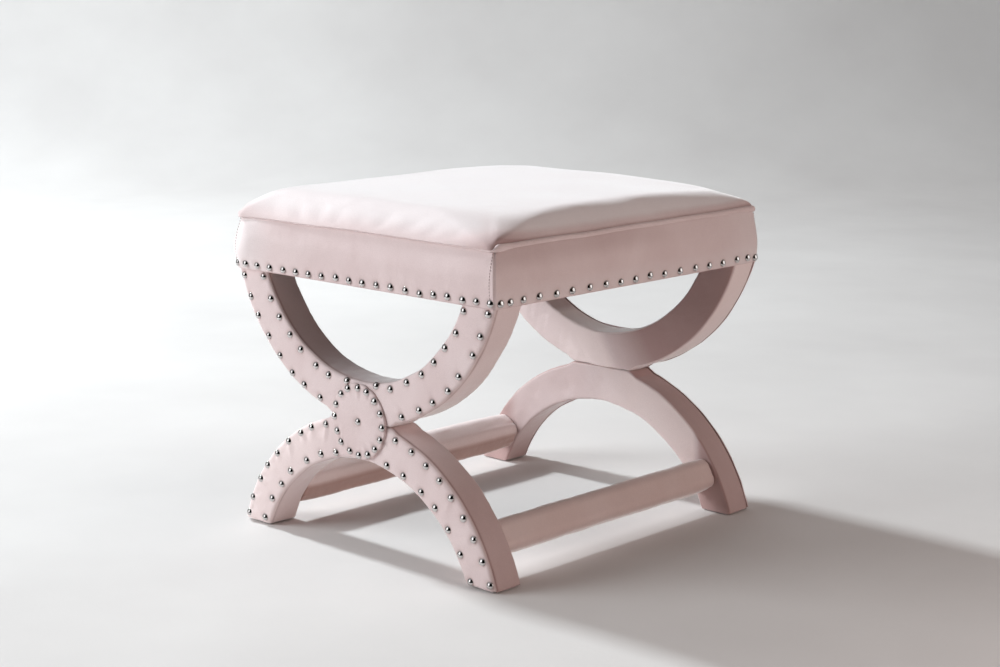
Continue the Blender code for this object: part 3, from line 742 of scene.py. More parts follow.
def band_painted_light_shade(name, u, z, top, share, near, nails, half):
    """Painted light and shade of one row of a band panel: painted shade in the corner seams, along the lower
    edge, under the welt and round the nails, and painted light and shade that differ from side to side.
    """
    high = z - SEAT_UNDERSIDE
    painted_light_shade = PLAIN - 0.08 * bell(near, 0.0010) - 0.26 * bell(high, 0.0010)
    painted_light_shade = painted_light_shade + np.clip(pits(u, high, nails, 0.25, 0.0056), -0.25, 0)
    painted_light_shade = painted_light_shade - (0.14 if name in ("front", "back") else 0.05) * bell(top - z, 0.0014)
    if name == "left":
        painted_light_shade = painted_light_shade - 0.20 * smooth(0.03, 0.09, half - u)
    if name == "front":
        painted_light_shade = painted_light_shade + 0.24 * smooth(0.15, 0.22, -u) - 0.06 * smooth(0.17, 0.22, u)
        painted_light_shade = painted_light_shade - 0.12 * bell(u + 0.13, 0.05) * smooth(0.60, 0.85, share)
    if name == "right":
        painted_light_shade = painted_light_shade + 0.12 * (1 - smooth(0.1, 0.45, share)) + 0.12 * smooth(0.15, 0.24, u)
        painted_light_shade = painted_light_shade - 0.20 * smooth(0.55, 0.90, share) * (1 - smooth(-0.05, 0.15, u))
    return painted_light_shade


def build_band():
    """Four padded panels with their nails, and the stitching of the front and back panels' ends."""
    stitches = Heap()
    stitch = [(0.0, -0.0013), (0.0003, -0.0010), (0.00045, 0.0), (0.0003, 0.0010), (0.0, 0.0013)]
    first_stitch, stitch_pitch, stitch_inset = 0.0140, 0.0037, 0.0066
    line = np.linspace(-1, 1, 361)
    line = np.sign(line) * (1 - (1 - np.abs(line)) ** 1.3)
    rise = np.concatenate([np.linspace(0.002, 0.028, 24), np.linspace(0.030, 0.064, 14),
                           np.linspace(0.0655, 0.0717, 8)]) / BAND_HEIGHT
    # Rows of a panel: inset from its face (none on the hidden side), share of its height, tuck under the welt
    rows = [(None, 0.0, 0), (0.0035, 0.0, 0), (0.0016, 0.0004, 0), (0.0005, 0.0011, 0)]
    rows += [(0.0, share, 0) for share in rise]
    rows += [(0.0006, 1.0, 0.3), (0.0022, 1.0, 1), (None, 1.0, 1), (None, 0.5, 0)]
    for index, name in enumerate(("front", "right", "back", "left")):
        across_x = name in ("front", "back")
        half = (SEAT_WIDTH if across_x else SEAT_DEPTH) / 2
        out = (SEAT_DEPTH if across_x else SEAT_WIDTH) / 2
        cos, sin = math.cos(index * math.pi / 2), math.sin(index * math.pi / 2)
        rotate = np.array([[cos, sin, 0], [-sin, cos, 0], [0, 0, 1]])
        nails = band_nails(across_x, half, 40 + index)
        rounds = (CORNER_ROUND[index], CORNER_ROUND[(index + 1) % 4])
        flares = (CORNER_FLARE[index], CORNER_FLARE[(index + 1) % 4])
        shape = (nails, half, not across_x, 50 + index, flares)
        edge = line * (half - 0.004)
        plan = joined(edge, -out, 0.0) @ rotate
        low, middle, _ = seam_line(plan[:, 0], plan[:, 1])
        lip = (0.0006 if across_x else middle - 0.0014 - low) * smooth(0.0, 0.030, half - np.abs(edge))
        top = low + lip - CLEARANCE
        end = np.array([half - 0.0005])
        rings = np.zeros((len(line), len(rows), 3))
        painted_light_shades = np.full((len(line), len(rows)), PLAIN)
        for j, (extra, share, tuck) in enumerate(rows):
            z = SEAT_UNDERSIDE + share * (top - SEAT_UNDERSIDE) - tuck * lip
            if extra is None:
                flat = np.full(len(line), BAND_PAD)
                u = line * (half - BAND_PAD)
            else:
                level = np.maximum(z, SEAT_UNDERSIDE + 0.002)
                curve = band_curve(line, max(share, 0.028), rounds)
                ends = [band_height(hand * end, level[:1], top[:1], *shape)[0] for hand in (-1, 1)]
                limit = half + np.where(line < 0, *ends) - curve * (1 - math.sqrt(0.5))
                near = limit - np.abs(line) * limit
                groove = 0.0004 * bell(near, 0.0008)
                u = line * limit
                flat = band_face(u, level, top, rounds, *shape) + groove + extra
                u = u - np.sign(line) * groove - line * extra
                painted_light_shades[:, j] = band_painted_light_shade(name, u, z, top, share, near, nails, half)
            rings[:, j] = joined(u, flat - out, z) @ rotate
        made = lofted("band_panel_" + name, VELVET, rings, painted_light_shades)
        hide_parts("band_" + name)

        heads = Heap()
        rng = np.random.default_rng(60 + index)
        flat_top = np.array([SEAM_LINE - WELT_RADIUS])
        step = 0.003
        for a, b in nails:
            beside = np.array([a - step, a, a + step])
            inset = band_face(beside, np.full(3, SEAT_UNDERSIDE + b), flat_top, rounds, *shape)
            local = np.array([a, inset[1] - out - NAIL_SEAT, SEAT_UNDERSIDE + b])
            way = np.array([(inset[2] - inset[0]) / (2 * step), -1.0, 0.0])
            nail_head(heads, local @ rotate, way / np.linalg.norm(way) @ rotate, rng)
        heads.make("band_nails_" + name, NICKEL)

        for hand in (-1, 1) if across_x else ():
            for k in range(15):
                z = np.array([SEAT_UNDERSIDE + first_stitch + stitch_pitch * k])
                u = np.array([hand * (half - stitch_inset)])
                inset = band_face(u, z, flat_top, rounds, *shape)[0]
                turned(stitches, stitch, np.array([u[0], inset - out - 0.0001, z[0]]) @ rotate, (0, 0, 1), 8)
    stitches.make("corner_stitching", THREAD)


# Arc frames: places on a facing are (x, drop), with drop measured from the crossing.

def slim(theta, level):
    """Share of the full width: the lower arcs narrow towards their feet."""
    if level > 0:
        return np.ones_like(theta)
    narrower = 0.0045
    return 1 - narrower / ARC_WIDTH * smooth(math.radians(10), math.radians(75), np.abs(theta))


def nail_places(level, side, seed):
    """Both rows of one facing, set by hand."""
    rng = np.random.default_rng(seed)
    places = []
    # Rows: inset, whether it is the outer one, degrees to the last nail, step, nails on each side
    rows = ((NAIL_INSET, True, 70.3, 7.4, 8), (ARC_WIDTH - NAIL_INSET, False, 66.4, 8.35, 8))
    if level < 0:
        rows = ((NAIL_INSET - 0.0012, True, 70.6, 6.86, 9), (ARC_WIDTH - NAIL_INSET, False, 67.4, 8.95, 7))
    for across, outer, last, step, count in rows:
        for k in range(count):
            for hand in (-1, 1):
                theta = math.radians(last - step * k + rng.normal(0, 0.45))
                away = 0.0 if outer or level > 0 else 0.0030 * theta
                away += (-0.0030 if outer else 0.0030) if side > 0 else 0.0
                inset = across - away + rng.normal(0, 0.0008)
                rho = ARC_OUTER - inset * float(slim(np.array(theta), level))
                if not outer and k == count - 1 and level > 0:
                    rho -= 0.004
                places.append((hand * rho * math.sin(theta), ARC_CENTRE - rho * math.cos(theta), outer))
    return places


def facing_height(x, drop, places, level, seed):
    """Outward swell of a facing: pillowed between the rows, drawn in at the nails, with pulled folds."""
    rho = np.hypot(x, ARC_CENTRE - drop)
    theta = np.arctan2(x, ARC_CENTRE - drop)
    across = (ARC_OUTER - rho) / slim(theta, level)
    share = np.clip(across / ARC_WIDTH, 0, 1)
    pillow = 0.0013
    height = pillow * (4 * share * (1 - share)) ** 0.8
    rng = np.random.default_rng(seed)
    folds = 0.0
    for a, b, outer in places:
        start = math.atan2(a, ARC_CENTRE - b)
        begin = ARC_OUTER - math.hypot(a, ARC_CENTRE - b)
        way = 1.0 if outer else -1.0
        inward = way * (across - begin)
        lean = rng.uniform(-0.45, 0.45)
        run = (theta - start) * rho - lean * inward
        length = rng.uniform(0.014, 0.030) if outer else rng.uniform(0.008, 0.016)
        window = smooth(0.002, 0.006, inward) * (1 - smooth(length * 0.45, length, inward))
        gain = rng.uniform(0.0, 0.0005) if outer else rng.uniform(0.0, 0.0003)
        gain += 0.0007 if outer and level < 0 and a < 0 else 0.0
        wide = rng.uniform(0.0036, 0.0060)
        folds = folds + gain * bell(run, wide) * window
        folds = folds - 0.6 * gain * bell(run - 2.1 * wide, wide) * window
    near = [(a, b) for a, b, _ in places]
    height = height + folds + pits(x, drop, near, 0.0013, 0.0058)
    height = height + stars(x, drop, near, 0.00012, 0.007, seed + 1)
    height = height + swell(joined(x, drop, 0.02 * level), 0.0003, 0.06, seed + 2)
    return height * smooth(MEDALLION_RADIUS - 0.014, MEDALLION_RADIUS + 0.006, np.hypot(x, drop))


def arc_end(level):
    """Level of an arc's ends, as a drop from the crossing."""
    return HALF + (-CLEARANCE if level > 0 else FOOT_SAG)


def arc_rings(line, across, depth, far, level, side):
    """Sweep of one cross-section round an arc; the ends are cut level and the fabric bridges the crossing."""
    reach = np.arccos((ARC_CENTRE - far) / (ARC_OUTER - across))
    for _ in range(6):
        reach = np.arccos((ARC_CENTRE - far) / (ARC_OUTER - across * slim(reach, level)))
    theta = line[:, None] * reach
    rho = ARC_OUTER - across * slim(theta, level)
    x = rho * np.sin(theta)
    web = (1 - smooth(0.048, 0.068, np.abs(x))) * (1 - smooth(0.0, 0.016, across))
    gap = np.maximum(ARC_CENTRE - np.sqrt(np.maximum(ARC_OUTER ** 2 - x ** 2, 0)), 0)
    drop = np.maximum(ARC_CENTRE - rho * np.cos(theta) - web * gap, CLEARANCE / 2)
    return joined(x, side * (FACE_Y - depth), MID + level * drop), x, drop


def arc_line(count):
    """Places along an arc, closer together at its ends."""
    line = np.linspace(-1, 1, count)
    extra = np.array([0.9996, 0.9985, 0.9967, 0.994, 0.990])
    return np.unique(np.concatenate([line, extra, -extra]))


def build_facing(name, level, side, seed):
    """Nailed front of one arc."""
    radius, roll, toe = 0.0046, 0.0034, 0.0042
    wide, thick = ARC_WIDTH, FACING_THICKNESS
    edge_ring = [(0.0016, thick), (0.0006, thick - 0.0001), (0.0, thick - 0.0004), (0.0, thick - 0.0009)]
    edge_ring += [(radius - radius * c, roll - roll * s) for c, s in quarter(0, 8, 9)]
    ring = edge_ring + [(a, 0.0) for a in np.linspace(radius, wide - radius, 32)]
    ring += [(wide - a, d) for a, d in reversed(edge_ring)]
    across, depth = np.array(ring).T
    face = depth < roll + 0.0001
    edge = np.minimum(across, wide - across)
    lip = bell(depth - thick + 0.0006, 0.0009) * np.where(across < wide / 2, -1.0, 1.0)
    places = nail_places(level, side, seed)
    near = [(a, b) for a, b, _ in places]
    line = arc_line(401)
    cut = arc_end(level)
    if level < 0:
        cut = cut - 0.0026 * np.clip(1 - across / 0.010, 0, 1) ** 2
        cut = cut - 0.0012 * np.clip(1 - (wide - across) / 0.008, 0, 1) ** 2
        cut = cut - 0.0012 * np.sin(math.pi * across / wide)
    _, x, drop = arc_rings(line, across, depth, cut, level, side)
    spot = joined(x, drop, 0.0)
    stray = swell(spot, 0.00035, 0.045, seed + 5) * (1 - smooth(0.0, 0.006, edge))
    stray = stray + lip * (0.0005 + np.clip(swell(spot, 0.0004, 0.06, seed + 6), -0.0004, 0.0006))
    rings, x, drop = arc_rings(line, across + stray, depth, cut, level, side)
    height = facing_height(x, drop, places, level, seed + 9) * smooth(0.0, radius * 1.4, edge) * face
    # Painted shade round the nails and along the seam at the back of the facing; on the lower arcs a painted
    # highlight towards the left.
    painted_light_shade = PLAIN + np.clip(pits(x, drop, near, 0.32, 0.0055), -0.32, 0)
    painted_light_shade = np.maximum(painted_light_shade - 0.36 * bell(thick - depth, 0.0013), DARKEST_PAINTED_SHADE)
    if level < 0:
        height = height - rolled(cut - drop, toe) * face
        painted_light_shade += 0.30 * smooth(0.03, 0.12, -x)
    rings[..., 1] += side * np.maximum(height, depth - thick + 0.0002)
    made = lofted(name + "_facing_panel", FRAMED, rings, painted_light_shade)
    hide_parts(name + "_facing")

    heads = Heap()
    rng = np.random.default_rng(seed + 3)
    for a, b in near:
        height = facing_height(np.array([a]), np.array([b]), places, level, seed + 9)[0]
        nail_head(heads, (a, side * (FACE_Y + height + NAIL_SEAT), MID + level * b), (0, side, 0), rng)
    heads.make(name + "_facing_nails", NICKEL)


def wrap_painted_light_shade(x, across, level, side):
    """Painted light and shade of an arc wrap's outer face, inner face and back, which differ by level, side
    and place along the arc; across the upper arcs' backs a painted shadow of the seat darkens the right.
    """
    if level > 0:
        low_end = 0.10 + 0.24 * (1 - smooth(0.10, 0.16, x))
        outer = np.where(x < 0, -0.24 * smooth(0.0, 0.10, -x), 0.34 if side > 0 else low_end)
        inner = -0.18 + (0.95 if side > 0 else 0.0) * smooth(-0.095, -0.070, x)
        slant = x + 0.030 * (across / ARC_WIDTH - 0.5)
        behind = (0.50 - 0.42 * smooth(0.03, 0.12, -x)) * (1 - smooth(0.000, 0.026, slant))
        return outer, inner, behind - 0.60 * smooth(0.002, 0.130, slant)
    if side > 0:
        outer = -0.36 + 0.06 * smooth(0.06, 0.19, x)
        inner = -0.04 - 0.24 * smooth(0.160, 0.185, -x)
    else:
        outer = -0.28 * smooth(0.10, 0.20, np.abs(x))
        inner = 0.12 + 0.10 * smooth(0.12, 0.19, -x)
    behind = -0.06 + 0.74 * smooth(-0.05, 0.12, x) - 1.05 * smooth(0.165, 0.188, x)
    return outer, inner, behind - 0.32 * smooth(0.160, 0.190, -x)


def build_wrap(name, level, side, seed):
    """Cover of one arc: a channel round the timber, with a foot pad at each lower end."""
    far = arc_end(level)
    front, back = FACING_THICKNESS + CLEARANCE, ARC_DEPTH
    wide, radius, toe = ARC_WIDTH, 0.0032, 0.0040
    half_ring = [(0.0020, front), (0.0007, front + 0.0005), (0.0, front + 0.0019)]
    half_ring += [(0.0, d) for d in np.linspace(front + 0.003, back - radius, 18)]
    half_ring += [(radius - radius * c, back - radius + radius * s) for c, s in quarter(1, 7, 8)]
    ring = half_ring + [(a, back) for a in np.linspace(radius, wide - radius, 18)]
    ring += [(wide - a, d) for a, d in reversed(half_ring)]
    outside = len(ring)
    ring += [(wide - 0.0036, front), (wide - 0.0039, back - 0.0039), (0.0039, back - 0.0039), (0.0036, front)]
    across, depth = np.array(ring).T
    shown = (np.arange(len(ring)) < outside) * 1.0
    is_outer = (across < radius * 0.6) * 1.0
    is_inner = (across > wide - radius * 0.6) * 1.0
    is_back = smooth(back - radius, back, depth) * shown
    line = arc_line(321)
    rings, _, _ = arc_rings(line, across, depth, far, level, side)
    soft = swell(rings, 0.00042, 0.05, seed) + swell(rings, 0.00014, 0.014, seed + 1)
    mid = (depth - front) / (back - front)
    puff = 0.0006 * np.clip(4 * mid * (1 - mid), 0, 1)
    push = (puff + soft) * shown * smooth(0.0, 0.004, depth - front)
    rings, x, drop = arc_rings(line, across + push * (is_inner - is_outer), depth, far, level, side)
    rings[..., 1] -= side * np.minimum(soft, 0.0002) * is_back
    if level < 0:
        rings[..., 0] += np.sign(x) * rolled(far - drop, toe) * (is_inner - is_outer)
    outer, inner, behind = wrap_painted_light_shade(x, across, level, side)
    # Painted shade along the seam with the facing, with each face's painted light and shade
    painted_light_shade = PLAIN - 0.44 * bell(depth - front, 0.0017) + outer * is_outer + inner * is_inner + behind * is_back
    heap = Heap()
    heap.loft(rings, painted_light_shade=np.maximum(painted_light_shade, DARKEST_PAINTED_SHADE))
    if level < 0:
        for hand in (-1, 1):
            foot_pad(heap, side, hand)
    made = heap.make(name + "_arc_wrap", FRAMED)
    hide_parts(name + "_arc_cover")


def fit_core(name):
    """Timber of a lower arc, drawn in with the cover where the legs narrow."""
    old = frame["nodes"][name + "_arc_core"]
    mesh = old.data.copy()
    points = np.zeros(len(mesh.vertices) * 3)
    mesh.vertices.foreach_get("co", points)
    points = points.reshape(-1, 3)
    up = points[:, 2] - MID + ARC_CENTRE
    theta = np.arctan2(points[:, 0], up)
    across = ARC_OUTER - np.hypot(points[:, 0], up)
    pull = ARC_WIDTH * (1 - slim(theta, -1)) * smooth(0.026, 0.047, across)
    level_end = smooth(math.radians(60), math.radians(66), np.abs(theta))
    points[:, 0] += np.sign(points[:, 0]) * pull * (np.abs(np.sin(theta)) * (1 - level_end) + level_end)
    points[:, 2] += pull * np.cos(theta) * (1 - level_end)
    mesh.vertices.foreach_set("co", points.ravel())
    mesh.materials.clear()
    mesh.materials.append(TIMBER)
    made = bpy.data.objects.new(name + "_arc_timber", mesh)
    bpy.context.scene.collection.objects.link(made)
    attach(made, "root")
    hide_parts(name + "_arc_core")


def foot_pad(heap, side, hand):
    """Underside of a foot: fabric drawn over the arc's end, open where the glide is nailed to the timber."""
    inner_edge = END_INNER
    for _ in range(6):
        theta = math.atan2(inner_edge, ARC_CENTRE - HALF)
        rho = ARC_OUTER - ARC_WIDTH * float(slim(np.array(theta), -1))
        inner_edge = math.sqrt(rho ** 2 - (ARC_CENTRE - HALF) ** 2)
    inside, corner = 0.0018, 0.004
    low = np.array([inner_edge + inside, FACE_Y - ARC_DEPTH + inside])
    high = np.array([END_OUTER - inside, FACE_Y - FACING_THICKNESS - 0.0012])
    centre, half = (low + high) / 2, (high - low) / 2
    rings = []
    for inset, z in ((0.010, 0.0080), (0.0012, 0.0080), (0.0, 0.0050), (0.0003, 0.0030), (0.0012, 0.0019),
                     (0.0030, 0.0016), (0.0052, 0.0022), (0.0065, 0.0042), (0.012, 0.0043)):
        plan, _ = rounded_path(64, half[0] - inset, half[1] - inset, max(corner - inset, 0.001))
        rings.append(joined(hand * (centre[0] + plan[:, 0]), side * (centre[1] + plan[:, 1]), z))
    heap.loft(np.array(rings), closed=True)


def build_medallion(name, side, seed):
    """Round pad over a crossing, with its ring of nails and the nail in its middle."""
    rng = np.random.default_rng(seed)
    nails, count = 16, 256
    ring = MEDALLION_RADIUS - NAIL_RADIUS - 0.0008
    turns = [math.tau * k / nails + rng.normal(0, 0.018) for k in range(nails)]
    radii = [ring + rng.normal(0, 0.0005) for _ in range(nails)]
    places = [(r * math.sin(t), r * math.cos(t)) for t, r in zip(turns, radii)]
    edge, scallop = 0.0032, 0.0009
    flat = MEDALLION_RADIUS - edge
    radial = np.unique(np.concatenate([[0.0005], np.linspace(0.002, 0.047, 46),
                                       flat + edge * np.sin(np.radians(np.linspace(8, 90, 9)))]))
    angle = np.arange(count) * math.tau / count
    r, a = np.meshgrid(radial, angle, indexing="ij")
    gain = [rng.uniform(0.00025, 0.0010) for _ in places]
    lean = [rng.uniform(-0.5, 0.5) for _ in places]
    length = [rng.uniform(0.010, 0.022) for _ in places]

    def height_at(p, q):
        rad = np.hypot(p, q)
        turn = np.arctan2(p, q)
        total = 0.0011 * np.sin(math.pi * np.clip(rad / 0.046, 0, 1)) ** 1.2 - 0.0013 * bell(rad, 0.0060)
        total = total + pits(p, q, places, 0.0012, 0.0054)
        for t, r0, g, s, reach in zip(turns, radii, gain, lean, length):
            inward = r0 - rad
            offset = (turn - t + math.pi) % math.tau - math.pi
            run = offset * rad - s * inward
            window = smooth(0.002, 0.005, inward) * (1 - smooth(reach * 0.4, reach, inward))
            total = total + g * (bell(run, 0.0030) - 0.5 * bell(run - 0.0065, 0.0032)) * window
        total = total + stars(p, q, places, 0.00020, 0.006, seed + 4)
        return total + swell(joined(p, q, 0.0), 0.00022, 0.03, seed + 5)

    drawn = np.zeros_like(a)
    for t in turns:
        offset = (a - t + math.pi) % math.tau - math.pi
        drawn += scallop * bell(offset, 0.085)
    rim = r - drawn * smooth(0.040, MEDALLION_RADIUS, r)
    p, q = rim * np.sin(a), rim * np.cos(a)
    over = np.clip((r - flat) / edge, 0, 1)
    fall = edge * (1 - np.sqrt(np.maximum(1 - over ** 2, 0)))
    height = np.maximum(MEDALLION_PROUD + height_at(p, q) * (1 - over ** 2) - fall, 0.0008)
    rings = [joined(p, side * (FACE_Y + height), MID + q)]
    for reach in (MEDALLION_RADIUS - 0.0003 - drawn[-1], 0.0475):
        skirt = joined(reach * np.sin(angle), side * (FACE_Y + CLEARANCE), MID + reach * np.cos(angle))
        rings.append(skirt[None])
    # Painted shade round the nails, along the rim and in the middle, and darker still on the skirt under the
    # rim
    painted_light_shade = PLAIN + np.clip(pits(p, q, places, 0.32, 0.0052), -0.32, 0)
    painted_light_shade = painted_light_shade - 0.20 * bell(MEDALLION_RADIUS + 0.0005 - r, 0.0012) - 0.20 * bell(r, 0.006)
    painted_light_shade = np.concatenate([painted_light_shade, np.full((2, count), 0.3)])
    made = lofted(name + "_medallion_pad", FRAMED, np.concatenate(rings), painted_light_shade)
    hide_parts(name + "_medallion_cover")

    heads = Heap()
    for p0, q0 in places + [(0.0, 0.0)]:
        height = height_at(np.array([p0]), np.array([q0]))[0]
        spot = (p0, side * (FACE_Y + MEDALLION_PROUD + height + NAIL_SEAT), MID + q0)
        nail_head(heads, spot, (0, side, 0), rng)
    made = heads.make(name + "_medallion_nails", NICKEL)
    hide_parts(name + "_medallion_nail")


def build_stretcher(name, hand, seed):
    """Padded cover of one stretcher, turned to lie square to the arcs."""
    reach = FACE_Y - ARC_DEPTH - CLEARANCE - 0.0002
    half, roll = STRETCHER_SIZE / 2, 0.0026
    bore = half - WRAP_THICKNESS + CLEARANCE
    plan, out = rounded_path(104, half, half, 0.0125)
    inner = np.clip(plan * bore / half * 1.06, -bore, bore)
    even = np.linspace(-1, 1, 181)
    ys = (np.sin(even * math.pi / 2) * 0.35 + even * 0.65) * reach
    end = reach - np.abs(ys)
    cos, sin = math.cos(hand * STRETCHER_ANGLE), math.sin(hand * STRETCHER_ANGLE)
    spot = joined(plan[:, :1], ys, plan[:, 1:])
    soft = swell(spot, 0.0004, 0.06, seed) + swell(spot, 0.00012, 0.014, seed + 1)
    rng = np.random.default_rng(seed + 2)
    gather = 0.0
    turn = np.arctan2(plan[:, 1], plan[:, 0])
    for _ in range(9):
        depth = rng.uniform(0.0001, 0.0003)
        gather = gather + depth * np.cos(rng.integers(5, 17) * turn + rng.uniform(0, math.tau))
    soft = soft + gather[:, None] * np.exp(-end / 0.012)
    soft = soft - roll * (1 - np.sqrt(1 - np.clip(1 - end / roll, 0, 1) ** 2))
    seam = bell(np.hypot(plan[:, 0] + half * 0.72, plan[:, 1] + half), 0.0011)[:, None]
    soft = soft - 0.0007 * seam
    # The padding stands fullest along the upper corner and thins towards the legs.
    rise = plan[:, 1] * cos - plan[:, 0] * sin
    least, most = (0.0022, 0.0056) if hand < 0 else (0.0008, 0.0026)
    plump = least + (most - least) * smooth(-0.010, 0.022, rise)
    soft = soft + plump[:, None] * (0.55 + 0.45 * smooth(0.0, 0.030, end))
    # Painted light and shade: the left one has a painted highlight on its upper face and painted shade below
    # and on its sides; both are painted darker at the seam and the ends, and the right one darker all over.
    lower = 1 - smooth(-half, -half + 0.008, plan[:, 1])
    upper = smooth(half - 0.010, half - 0.002, plan[:, 0])
    lit_and_shaded = 0.48 * upper - 0.46 * lower - 0.32 * (1 - upper) * (1 - lower)
    painted_light_shade = PLAIN - 0.20 * seam - 0.15 * bell(end, 0.0016) + (lit_and_shaded[:, None] if hand < 0 else -0.12)
    painted_light_shade = np.concatenate([painted_light_shade, np.full((len(plan), 2), PLAIN)], 1)
    flat = plan[:, None, :] + out[:, None, :] * soft[..., None]
    bored = joined(inner[:, :1], [reach, -reach], inner[:, 1:])
    grid = np.concatenate([joined(flat[..., 0], ys, flat[..., 1]), bored], 1)
    placed = joined(hand * STRETCHER_X + grid[..., 0] * cos + grid[..., 2] * sin, grid[..., 1],
                    STRETCHER_HEIGHT - grid[..., 0] * sin + grid[..., 2] * cos)
    made = lofted(name + "_stretcher_wrap", PAINTED_LIT_VELVET, placed, painted_light_shade, closed=True)
    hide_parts(name + "_stretcher_cover")


# Underside and feet

def build_under():
    """Dust sheet stretched under the seat and notched round the arcs, with its staples."""
    margin, notch_room, thickness, staple_inset = 0.004, 0.003, 0.0006, 0.006
    wide, deep = SEAT_WIDTH / 2 - BAND_PAD - margin, SEAT_DEPTH / 2 - BAND_PAD - margin
    notch_x, notch_y = END_INNER - notch_room, FACE_Y - ARC_DEPTH - notch_room
    xs, ys = [np.concatenate([np.linspace(-half, -notch, 8), np.linspace(-notch, notch, count)[1:-1],
                              np.linspace(notch, half, 8)])
              for half, notch, count in ((wide, notch_x, 61), (deep, notch_y, 71))]
    x, y = np.meshgrid(xs, ys, indexing="ij")
    edge = np.minimum(wide - np.abs(x), deep - np.abs(y))
    sag = 0.0016 * smooth(0.0, 0.08, edge)
    sag = sag + np.abs(swell(joined(x, y, 0.0), 0.0005, 0.05, 90)) * smooth(0.0, 0.02, edge)
    low = SEAT_UNDERSIDE - CLEARANCE - 0.0009
    mid_x, mid_y = (x[:-1, :-1] + x[1:, 1:]) / 2, (y[:-1, :-1] + y[1:, 1:]) / 2
    quads = grid_quads(x.shape)[(np.abs(mid_x) < notch_x) | (np.abs(mid_y) < notch_y)]
    top = joined(x, y, low + thickness - sag).reshape(-1, 3)
    under = joined(x, y, low - sag).reshape(-1, 3)
    used = np.unique(quads)
    renumber = np.full(x.size, -1)
    renumber[used] = np.arange(len(used))
    quads = renumber[quads]
    count = len(used)
    edges = [(a, b) for quad in quads.tolist() for a, b in zip(quad, quad[1:] + quad[:1])]
    paired = set(edges)
    sides = [[b, a, a + count, b + count] for a, b in edges if (b, a) not in paired]
    heap = Heap()
    heap.add(np.concatenate([top[used], under[used]]),
             quads.tolist() + (quads[:, ::-1] + count).tolist() + sides)
    sheet = heap.make("dust_sheet", CAMBRIC)
    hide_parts("dust_cover")
    staples = Heap()
    rng = np.random.default_rng(91)
    for side in (-1, 1):
        for k in range(9):
            at = (k - 4) * 0.040 + rng.normal(0, 0.002)
            staple(staples, (at, side * (deep - staple_inset)), (1, 0), low - 0.0009, rng)
            staple(staples, (side * (wide - staple_inset), at), (0, 1), low - 0.0009, rng)
    made = staples.make("dust_sheet_staples", STEEL)


def staple(heap, at, way, z, rng):
    """Flat crown of a staple, with its legs going up through the sheet."""
    half_crown, half_wire = 0.0055, 0.0006
    way = np.array([*way, 0.0]) + rng.normal(0, 0.06, 3) * np.array([1, 1, 0])
    way = way / np.linalg.norm(way)
    across = np.cross(way, (0, 0, 1)) * half_wire
    rings = []
    for s, up in ((-1.0, 0.0022), (-0.98, 0.0005), (-0.9, 0.0), (0.9, 0.0), (0.98, 0.0005), (1.0, 0.0022)):
        centre = np.array([at[0], at[1], z + up]) + way * half_crown * s
        rings.append([centre + across * a + np.array([0, 0, b])
                      for a, b in ((1, -0.0002), (1, 0.0003), (-1, 0.0003), (-1, -0.0002))])
    heap.loft(np.array(rings))


def build_glides():
    """Nail-on glides, each with its shank."""
    top, radius, shank, from_face = GLIDE_HEIGHT - CLEARANCE, 0.0125, 0.0020, 0.024
    profile = [(0.0, 0.0003), (0.0060, 0.0), (0.0098, 0.0), (0.0113, 0.0003), (0.0122, 0.0010),
               (radius, 0.0019), (radius, top - 0.0006), (0.0120, top), (shank, top), (shank, top + 0.014),
               (0.0, top + 0.0163)]
    for side_name, side in SIDES:
        for hand_name, hand in HANDS:
            heap = Heap()
            turned(heap, profile, (hand * END_CENTRE, side * (FACE_Y - from_face), 0.0), (0, 0, 1), 40)
            corner = side_name + "_" + hand_name
            made = heap.make("foot_glide_" + corner, PLASTIC)
            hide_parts("glide_" + corner)


build_welt()
build_cushion()
build_band()
for side_index, (side_name, side) in enumerate(SIDES):
    for level_index, (level_name, level) in enumerate(LEVELS):
        seed = 100 + 40 * side_index + 20 * level_index
        build_facing(side_name + "_" + level_name, level, side, seed)
        build_wrap(side_name + "_" + level_name, level, side, seed + 10)
    fit_core(side_name + "_lower")
    build_medallion(side_name, side, 200 + side_index)
for hand_name, hand in HANDS:
    build_stretcher(hand_name, hand, 300 + hand)
build_under()
build_glides()

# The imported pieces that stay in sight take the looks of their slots.
slots = {part: row["slot"] for row in frame["record"]["materials"] for part in row.get("nodes", [])}
for name, item in frame["nodes"].items():
    old = item.data.materials[0].name.split(".")[0] if item.data.materials else "timber"
    look = LOOKS.get(slots.get(name, old), TIMBER)
    item.data.materials.clear()
    item.data.materials.append(look)


# Stage, light and camera

AZIMUTH, ELEVATION = math.radians(43.6152), math.radians(10.9924)
BACK = Vector((math.sin(AZIMUTH) * math.cos(ELEVATION), -math.cos(AZIMUTH) * math.cos(ELEVATION),
               math.sin(ELEVATION)))
RIGHT = Vector((math.cos(AZIMUTH), math.sin(AZIMUTH), 0))
AWAY = Vector((-math.sin(AZIMUTH), math.cos(AZIMUTH), 0))


def build_stage():
    """Floor that bends up into a wall behind the object."""
    columns, start, bend, wall = 21, 3.6, 1.2, 4.0
    profile = [(-9.0, 0.0), (start, 0.0)]
    profile += [(start + bend * s, bend - bend * c) for c, s in quarter(1, 12, 12)]
    profile.append((start + bend, wall))
    points = [RIGHT * right + AWAY * away + Vector((0, 0, up))
              for away, up in profile for right in np.linspace(-14, 14, columns)]
    faces = grid_quads((len(profile), columns))[..., ::-1].reshape(-1, 4).tolist()
    mesh = bpy.data.meshes.new("backdrop")
    mesh.from_pydata(points, [], faces)
    mesh.polygons.foreach_set("use_smooth", np.ones(len(mesh.polygons), dtype=bool))
    mesh.materials.append(floor_look("pale_backdrop", (0.675, 0.632, 0.617), (0.755, 0.712, 0.695)))
    made = bpy.data.objects.new("backdrop", mesh)
    bpy.context.scene.collection.objects.link(made)


